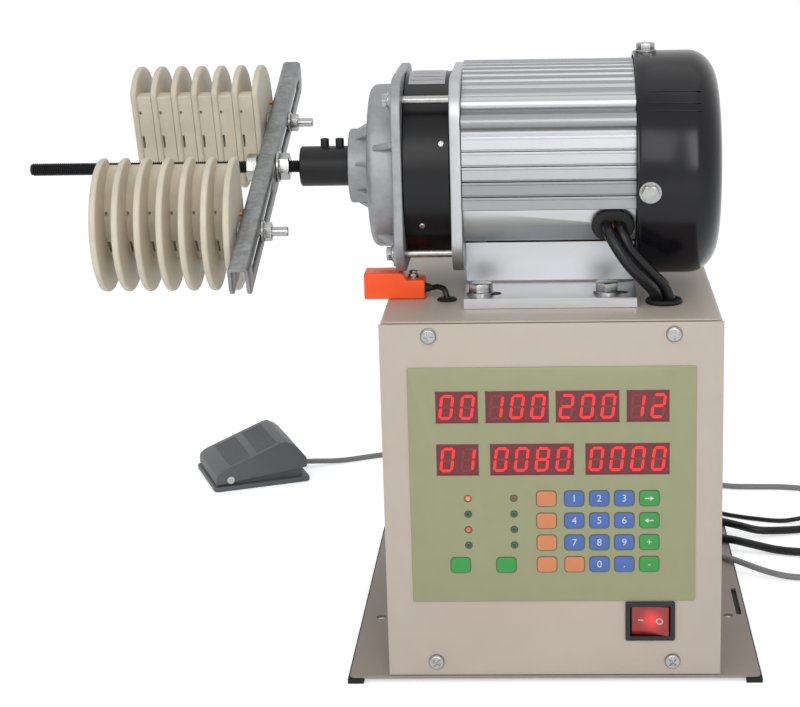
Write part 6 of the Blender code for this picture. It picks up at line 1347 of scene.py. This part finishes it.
sensorRoute = [(-0.0782, -0.0760, 0.2361), (-0.0735, -0.0760, 0.2361), (-0.0705, -0.0785, 0.2370),
               (-0.0665, -0.0825, 0.2365), (-0.0648, -0.0847, 0.2325), (-0.0645, -0.0850, 0.2280),
               (-0.0645, -0.0850, 0.2100)]
finished(asMesh(tubeAlong("sensor_wire", smoothRoute(sensorRoute, 0.0009), 0.0018)), "sensor_wire", "base",
         cableBlack, ("sensor_cable",))
boot = lathe([(0, -0.0012), (0.0034, -0.0012), (0.0034, 0.0), (0.0027, 0.0012), (0.0026, 0.0030),
              (0.0018, 0.0034), (0, 0.0034)], facing((-0.0785, -0.0760, 0.2361), (1, 0, 0)), 32)
sleeve = lathe([(0.0018, -0.0030), (0.0046, -0.0030), (0.0046, 0.0002), (0.0062, 0.0003), (0.0063, 0.0009),
                (0.0052, 0.0016), (0.0018, 0.0018)], upFrom(*cableHoles[1][:2], boxTop), 40)
finished(joinAll(boot, sleeve), "sensor_grommet", "base", rubberBlack)

frontRoute = [(0.0342, -0.0880, 0.2778), (0.0342, -0.0960, 0.2778), (0.0362, -0.1050, 0.2745),
              (0.0415, -0.1100, 0.2655), (0.0490, -0.1105, 0.2550), (0.0570, -0.1075, 0.2460),
              (0.0632, -0.1020, 0.2380), (0.0656, -0.0980, 0.2300), (0.0656, -0.0975, 0.2230),
              (0.0656, -0.0975, 0.2120)]
backRoute = [(0.0428, -0.0880, 0.2778), (0.0428, -0.0950, 0.2776), (0.0440, -0.1010, 0.2740),
             (0.0475, -0.1030, 0.2660), (0.0545, -0.1005, 0.2570), (0.0622, -0.0975, 0.2480),
             (0.0697, -0.0950, 0.2395), (0.0736, -0.0948, 0.2300), (0.0738, -0.0950, 0.2230),
             (0.0738, -0.0950, 0.2120)]
for name, route, node in (("motor_lead_front", frontRoute, "front_motor_cable"),
                          ("motor_lead_back", backRoute, "back_motor_cable")):
    finished(asMesh(tubeAlong(name, smoothRoute(route, 0.0016), 0.0037, 6)), name, "base",
             cableBlack, (node,))
ringSleeve = lathe([(0.0060, -0.0030), (0.0087, -0.0030), (0.0087, 0.0002), (0.0112, 0.0003),
                    (0.0115, 0.0014), (0.0106, 0.0026), (0.0088, 0.0029), (0.0072, 0.0020), (0.0060, 0.0002)],
                   upFrom(*cableHoles[0][:2], boxTop), 56)
finished(ringSleeve, "cover_grommet", "base", rubberBlack)
print("sensor and cables made")


# Foot pedal

pedal = {"corner": (-0.2743, 0.2256), "turn": math.radians(21.5), "length": 0.080, "width": 0.072,
         "base": 0.004, "upstand": 0.0105, "inset": 0.0055, "wall": 0.0020, "coverInset": 0.0022,
         "coverFoot": 0.0052, "low": 0.0140, "high": 0.0355, "nose": 0.0060, "crest": 0.0620,
         "back": 0.0150, "heel": 0.0130, "pinAlong": 0.0140, "pinHigh": 0.0086, "travel": math.radians(5),
         "glandRadius": 0.0038}
pedalTravel = pedal["length"] * math.sin(pedal["travel"])
pedalRight = Vector((math.cos(pedal["turn"]), math.sin(pedal["turn"]), 0))
pedalDeep = Vector((-math.sin(pedal["turn"]), math.cos(pedal["turn"]), 0))


def onPedal(along, across, high):
    return Vector((*pedal["corner"], floorZ)) + pedalRight * along + pedalDeep * across + Vector((0, 0, high))


def pedalPlace(along, across, high):
    return Matrix.Translation(onPedal(along, across, high)) @ spun(pedal["turn"])


def pedalSlice(loop, near, far, edge=0, segments=3):
    turn = Matrix((pedalRight, (0, 0, 1), -pedalDeep)).transposed().to_4x4()
    return slab(loop, far - near, Matrix.Translation(onPedal(0, (near + far) / 2, 0)) @ turn, edge, segments)


def coverSection(inset):
    # from the foot up; the inner one is longer at the foot, so that the cover is open below
    low = pedal["coverFoot"] - (0.002 if inset else 0)
    heelLow = low + pedalTravel - (0.004 if inset else 0)
    begin = pedal["coverInset"] + inset
    tail = pedal["length"] - begin
    lip, high = pedal["low"] - inset, pedal["high"] - inset
    crest, back = pedal["crest"], tail - pedal["back"]
    return [(begin, low), (tail, heelLow), (tail, pedal["heel"] + pedalTravel - inset),
            (tail - pedal["back"] / 2, high - pedal["nose"]), (tail - pedal["back"] * 0.75, high - 0.0028),
            (back, high - 0.0010), (back - 0.0010, high - 0.0003), (crest, high),
            (crest - 0.0028, high - 0.0003), (crest - pedal["nose"], high - 0.0010),
            (begin + pedal["nose"], lip + 0.0030), (begin + 0.0020, lip + 0.0004),
            (begin + 0.0006, lip - 0.0012), (begin, lip - 0.0035)]


skin = pedalSlice(coverSection(0), pedal["coverInset"], pedal["width"] - pedal["coverInset"], 0.0016, 4)
cutWith(skin, pedalSlice(coverSection(pedal["wall"]), pedal["coverInset"] + pedal["wall"],
                         pedal["width"] - pedal["coverInset"] - pedal["wall"]))
notchHigh = 2 * pedal["glandRadius"] + pedal["base"] / 2 + pedalTravel + 0.0006
cutWith(skin, brick((0.006, 2 * pedal["glandRadius"] + 0.0012, notchHigh),
                    pedalPlace(pedal["length"] - pedal["coverInset"] - 0.001, pedal["width"] / 2,
                               notchHigh / 2)))
slopeFrom = Vector((pedal["coverInset"] + pedal["nose"], pedal["low"] + 0.0030))
slopeTo = Vector((pedal["crest"] - pedal["nose"], pedal["high"] - 0.0010))
slope = math.atan2(slopeTo.y - slopeFrom.y, slopeTo.x - slopeFrom.x)
treadFrom, treadCount = pedal["coverInset"] + 0.0065, 17
treadPitch = (pedal["width"] - 2 * treadFrom) / (treadCount - 1)
treads = []
for begin, stop in ((0.13, 0.50), (0.62, 0.97)):
    a, b = slopeFrom.lerp(slopeTo, begin), slopeFrom.lerp(slopeTo, stop)
    for i in range(treadCount):
        place = pedalPlace((a.x + b.x) / 2, treadFrom + i * treadPitch, (a.y + b.y) / 2)
        treads.append(brick(((b - a).length, 0.0016, 0.0009), place @ spun(-slope, "Y"),
                            0.00035, 2))
finished(joinAll(skin, *treads), "pedal_shell", "pedal_cover", pedalGrey, ("pedal_cover",), 40)

baseWide = pedal["width"]
trayPlace = pedalPlace(pedal["length"] / 2, baseWide / 2, 0)
floorPlate = slabZ(roundedLoop(pedal["length"], baseWide, 0.004), 0, pedal["base"], edge=0.0008)
wallLong, wallWide = pedal["length"] - 2 * pedal["inset"], baseWide - 2 * pedal["inset"]
upstand = slabZ(roundedLoop(wallLong, wallWide, 0.0015), pedal["base"] / 2, pedal["upstand"])
cutWith(upstand, slabZ(roundedLoop(wallLong - 2 * pedal["wall"], wallWide - 2 * pedal["wall"], 0.001),
                       0, pedal["upstand"] + 0.002))
glandBase = onPedal(pedal["length"] - pedal["inset"] - pedal["wall"] / 2, baseWide / 2,
                    pedal["glandRadius"] + pedal["base"] / 2)
gland = lathe([(0, 0), (0.0038, 0), (0.0038, 0.0030), (0.0034, 0.0034), (0.0037, 0.0038), (0.0036, 0.0050),
               (0.0031, 0.0054), (0.0033, 0.0058), (0.0030, 0.0066), (0.0025, 0.0070), (0, 0.0070)],
              facing(glandBase, pedalRight), 32)
tray = joinAll(moved(floorPlate, trayPlace), moved(upstand, trayPlace), gland)
finished(tray, "pedal_tray", "base", pedalGrey, ("pedal_base",))
pivot = onPedal(pedal["pinAlong"], baseWide / 2, pedal["pinHigh"])
pinReach = baseWide - 2 * pedal["coverInset"] + 0.0006
pinBar = disc(0.0022, -pinReach / 2, pinReach / 2, facing(pivot, pedalDeep), 24)
pinHeads = [lathe([(0, 0), (0.0032, 0), (0.0032, 0.0004), (0.0028, 0.0008), (0.0012, 0.0008),
                   (0.0009, 0.0004), (0, 0.0004)],
                  facing(pivot + pedalDeep * s * pinReach / 2, pedalDeep * s), 32) for s in (-1, 1)]
finished(joinAll(pinBar, *pinHeads), "pedal_pin", "base", pinSteel)

# the return spring under the cover: a coil of wire with flat end turns
spring = {"wire": 0.0006, "turns": 5, "flat": 0.75, "steps": 20, "kept": 0.62}
springLow, springHigh = [Vector(corner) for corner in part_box("pedal_spring")]
springMid = (springLow + springHigh) / 2
springRise = springHigh.z - springLow.z - 2 * spring["wire"]
springReach = min(springHigh.x - springLow.x, springHigh.y - springLow.y) / 2 - spring["wire"]
springSteps = spring["turns"] * spring["steps"]
springRing = arc(springMid.x, springMid.y, springReach, 0, 2 * math.pi * spring["turns"], springSteps)
springPoints = []
for step, (x, y) in enumerate(springRing):
    climb = (step / spring["steps"] - spring["flat"]) / (spring["turns"] - 2 * spring["flat"])
    springPoints.append((x, y, springLow.z + spring["wire"] + springRise * min(1, max(0, climb))))
coilSpring = asMesh(tubeAlong("return_spring", springPoints, spring["wire"], 3))
finished(coilSpring, "return_spring", "base", steelGround, ("pedal_spring",))
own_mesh(coilSpring)
print("pedal made")

dropIt(footBolt, tieBolt, capBolt, panelScrew, smallScrew)


# Finishes of the solids that stay as they are

stays = {"base_plate": platePaint, "left_foot_strip": rubberBlack, "right_foot_strip": rubberBlack,
         "control_board": boardGreen, "power_supply": tinPlate, "motor_driver": extrusion,
         "stator": copperWire, "rotor": steelGround, "front_rotor_bearing": steelGround,
         "rear_rotor_bearing": steelGround, "output_bearing": steelGround, "planet_carrier": steelGround,
         "planet_gear_1": steelGround, "planet_gear_2": steelGround, "planet_gear_3": steelGround,
         "ring_gear": steelGround, "pedal_switch": plasticBlack}
for name, finish in stays.items():
    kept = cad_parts[name]
    if not kept.material_slots:
        kept.data.materials.append(finish)
    for slotPlace in kept.material_slots:
        slotPlace.material = finish
print("kept solids finished")


# Floor, background and lamps

def seenRays(tree):
    # 1 for what the camera sees straight, in a mirror or through glass
    ray = addNode(tree, "ShaderNodeLightPath")
    seen = ray.outputs["Is Camera Ray"]
    for kind in ("Is Glossy Ray", "Is Transmission Ray"):
        either = addNode(tree, "ShaderNodeMath", operation="MAXIMUM")
        tree.links.new(seen, either.inputs[0])
        tree.links.new(ray.outputs[kind], either.inputs[1])
        seen = either.outputs["Value"]
    return seen


studio = {"floorTones": (0.90, 0.93), "floorLift": 0.50, "sky": (0.93, 0.96, 1.0, 1), "skyStrength": 0.55}
bpy.ops.object.select_all(action="DESELECT")
bpy.ops.mesh.primitive_plane_add(size=12, location=(0, 0, floorZ - 0.0001))
floor = bpy.context.active_object
floor.name = "studio_floor"
paper = bpy.data.materials.new("white_paper_floor")
paper.use_nodes = True
paperTree = paper.node_tree
paperShader = paperTree.nodes["Principled BSDF"]
paperShader.inputs["Roughness"].default_value = 0.9
paperShader.inputs["Emission Color"].default_value = (1, 1, 1, 1)
noise = addNode(paperTree, "ShaderNodeTexNoise", Scale=3.0)
paperTones = addNode(paperTree, "ShaderNodeValToRGB")
for element, tone in zip(paperTones.color_ramp.elements, studio["floorTones"]):
    element.color = (tone, tone, tone, 1)
lift = addNode(paperTree, "ShaderNodeMath", operation="MULTIPLY")
lift.inputs[1].default_value = studio["floorLift"]
for outgoing, incoming in ((noise.outputs["Fac"], paperTones.inputs["Fac"]),
                           (paperTones.outputs["Color"], paperShader.inputs["Base Color"]),
                           (seenRays(paperTree), lift.inputs[0]),
                           (lift.outputs["Value"], paperShader.inputs["Emission Strength"])):
    paperTree.links.new(outgoing, incoming)
floor.data.materials.append(paper)

sky = bpy.data.worlds.new("white_studio")
sky.use_nodes = True
bpy.context.scene.world = sky
skyTree = sky.node_tree
skyTree.nodes.clear()
output = addNode(skyTree, "ShaderNodeOutputWorld")
ambient = addNode(skyTree, "ShaderNodeBackground", Color=studio["sky"], Strength=studio["skyStrength"])
white = addNode(skyTree, "ShaderNodeBackground", Color=(1, 1, 1, 1), Strength=1.0)
mixer = addNode(skyTree, "ShaderNodeMixShader")
for outgoing, incoming in ((seenRays(skyTree), mixer.inputs["Fac"]),
                           (ambient.outputs["Background"], mixer.inputs[1]),
                           (white.outputs["Background"], mixer.inputs[2]),
                           (mixer.outputs["Shader"], output.inputs["Surface"])):
    skyTree.links.new(outgoing, incoming)

lamps = [("key_softbox", (-0.6, -1.7, 1.1), (-0.02, 0.0, 0.20), (1.0, 1.0), 8.5),
         ("fill_softbox", (0.40, -1.75, 0.95), (0.0, 0.0, 0.20), (0.46, 1.2), 9.0),
         ("top_softbox", (0.1, 0.2, 2.0), (0.0, 0.0, 0.2), (1.4, 1.4), 3.0)]
for name, place, target, size, power in lamps:
    light = bpy.data.lights.new(name, "AREA")
    light.shape = "RECTANGLE"
    light.size, light.size_y = size
    light.energy = power
    holder = bpy.data.objects.new(name, light)
    bpy.context.scene.collection.objects.link(holder)
    aim = Vector(target) - Vector(place)
    holder.matrix_world = Matrix.Translation(place) @ aim.to_track_quat("-Z", "Y").to_matrix().to_4x4()

bpy.context.scene.view_settings.view_transform = "Standard"
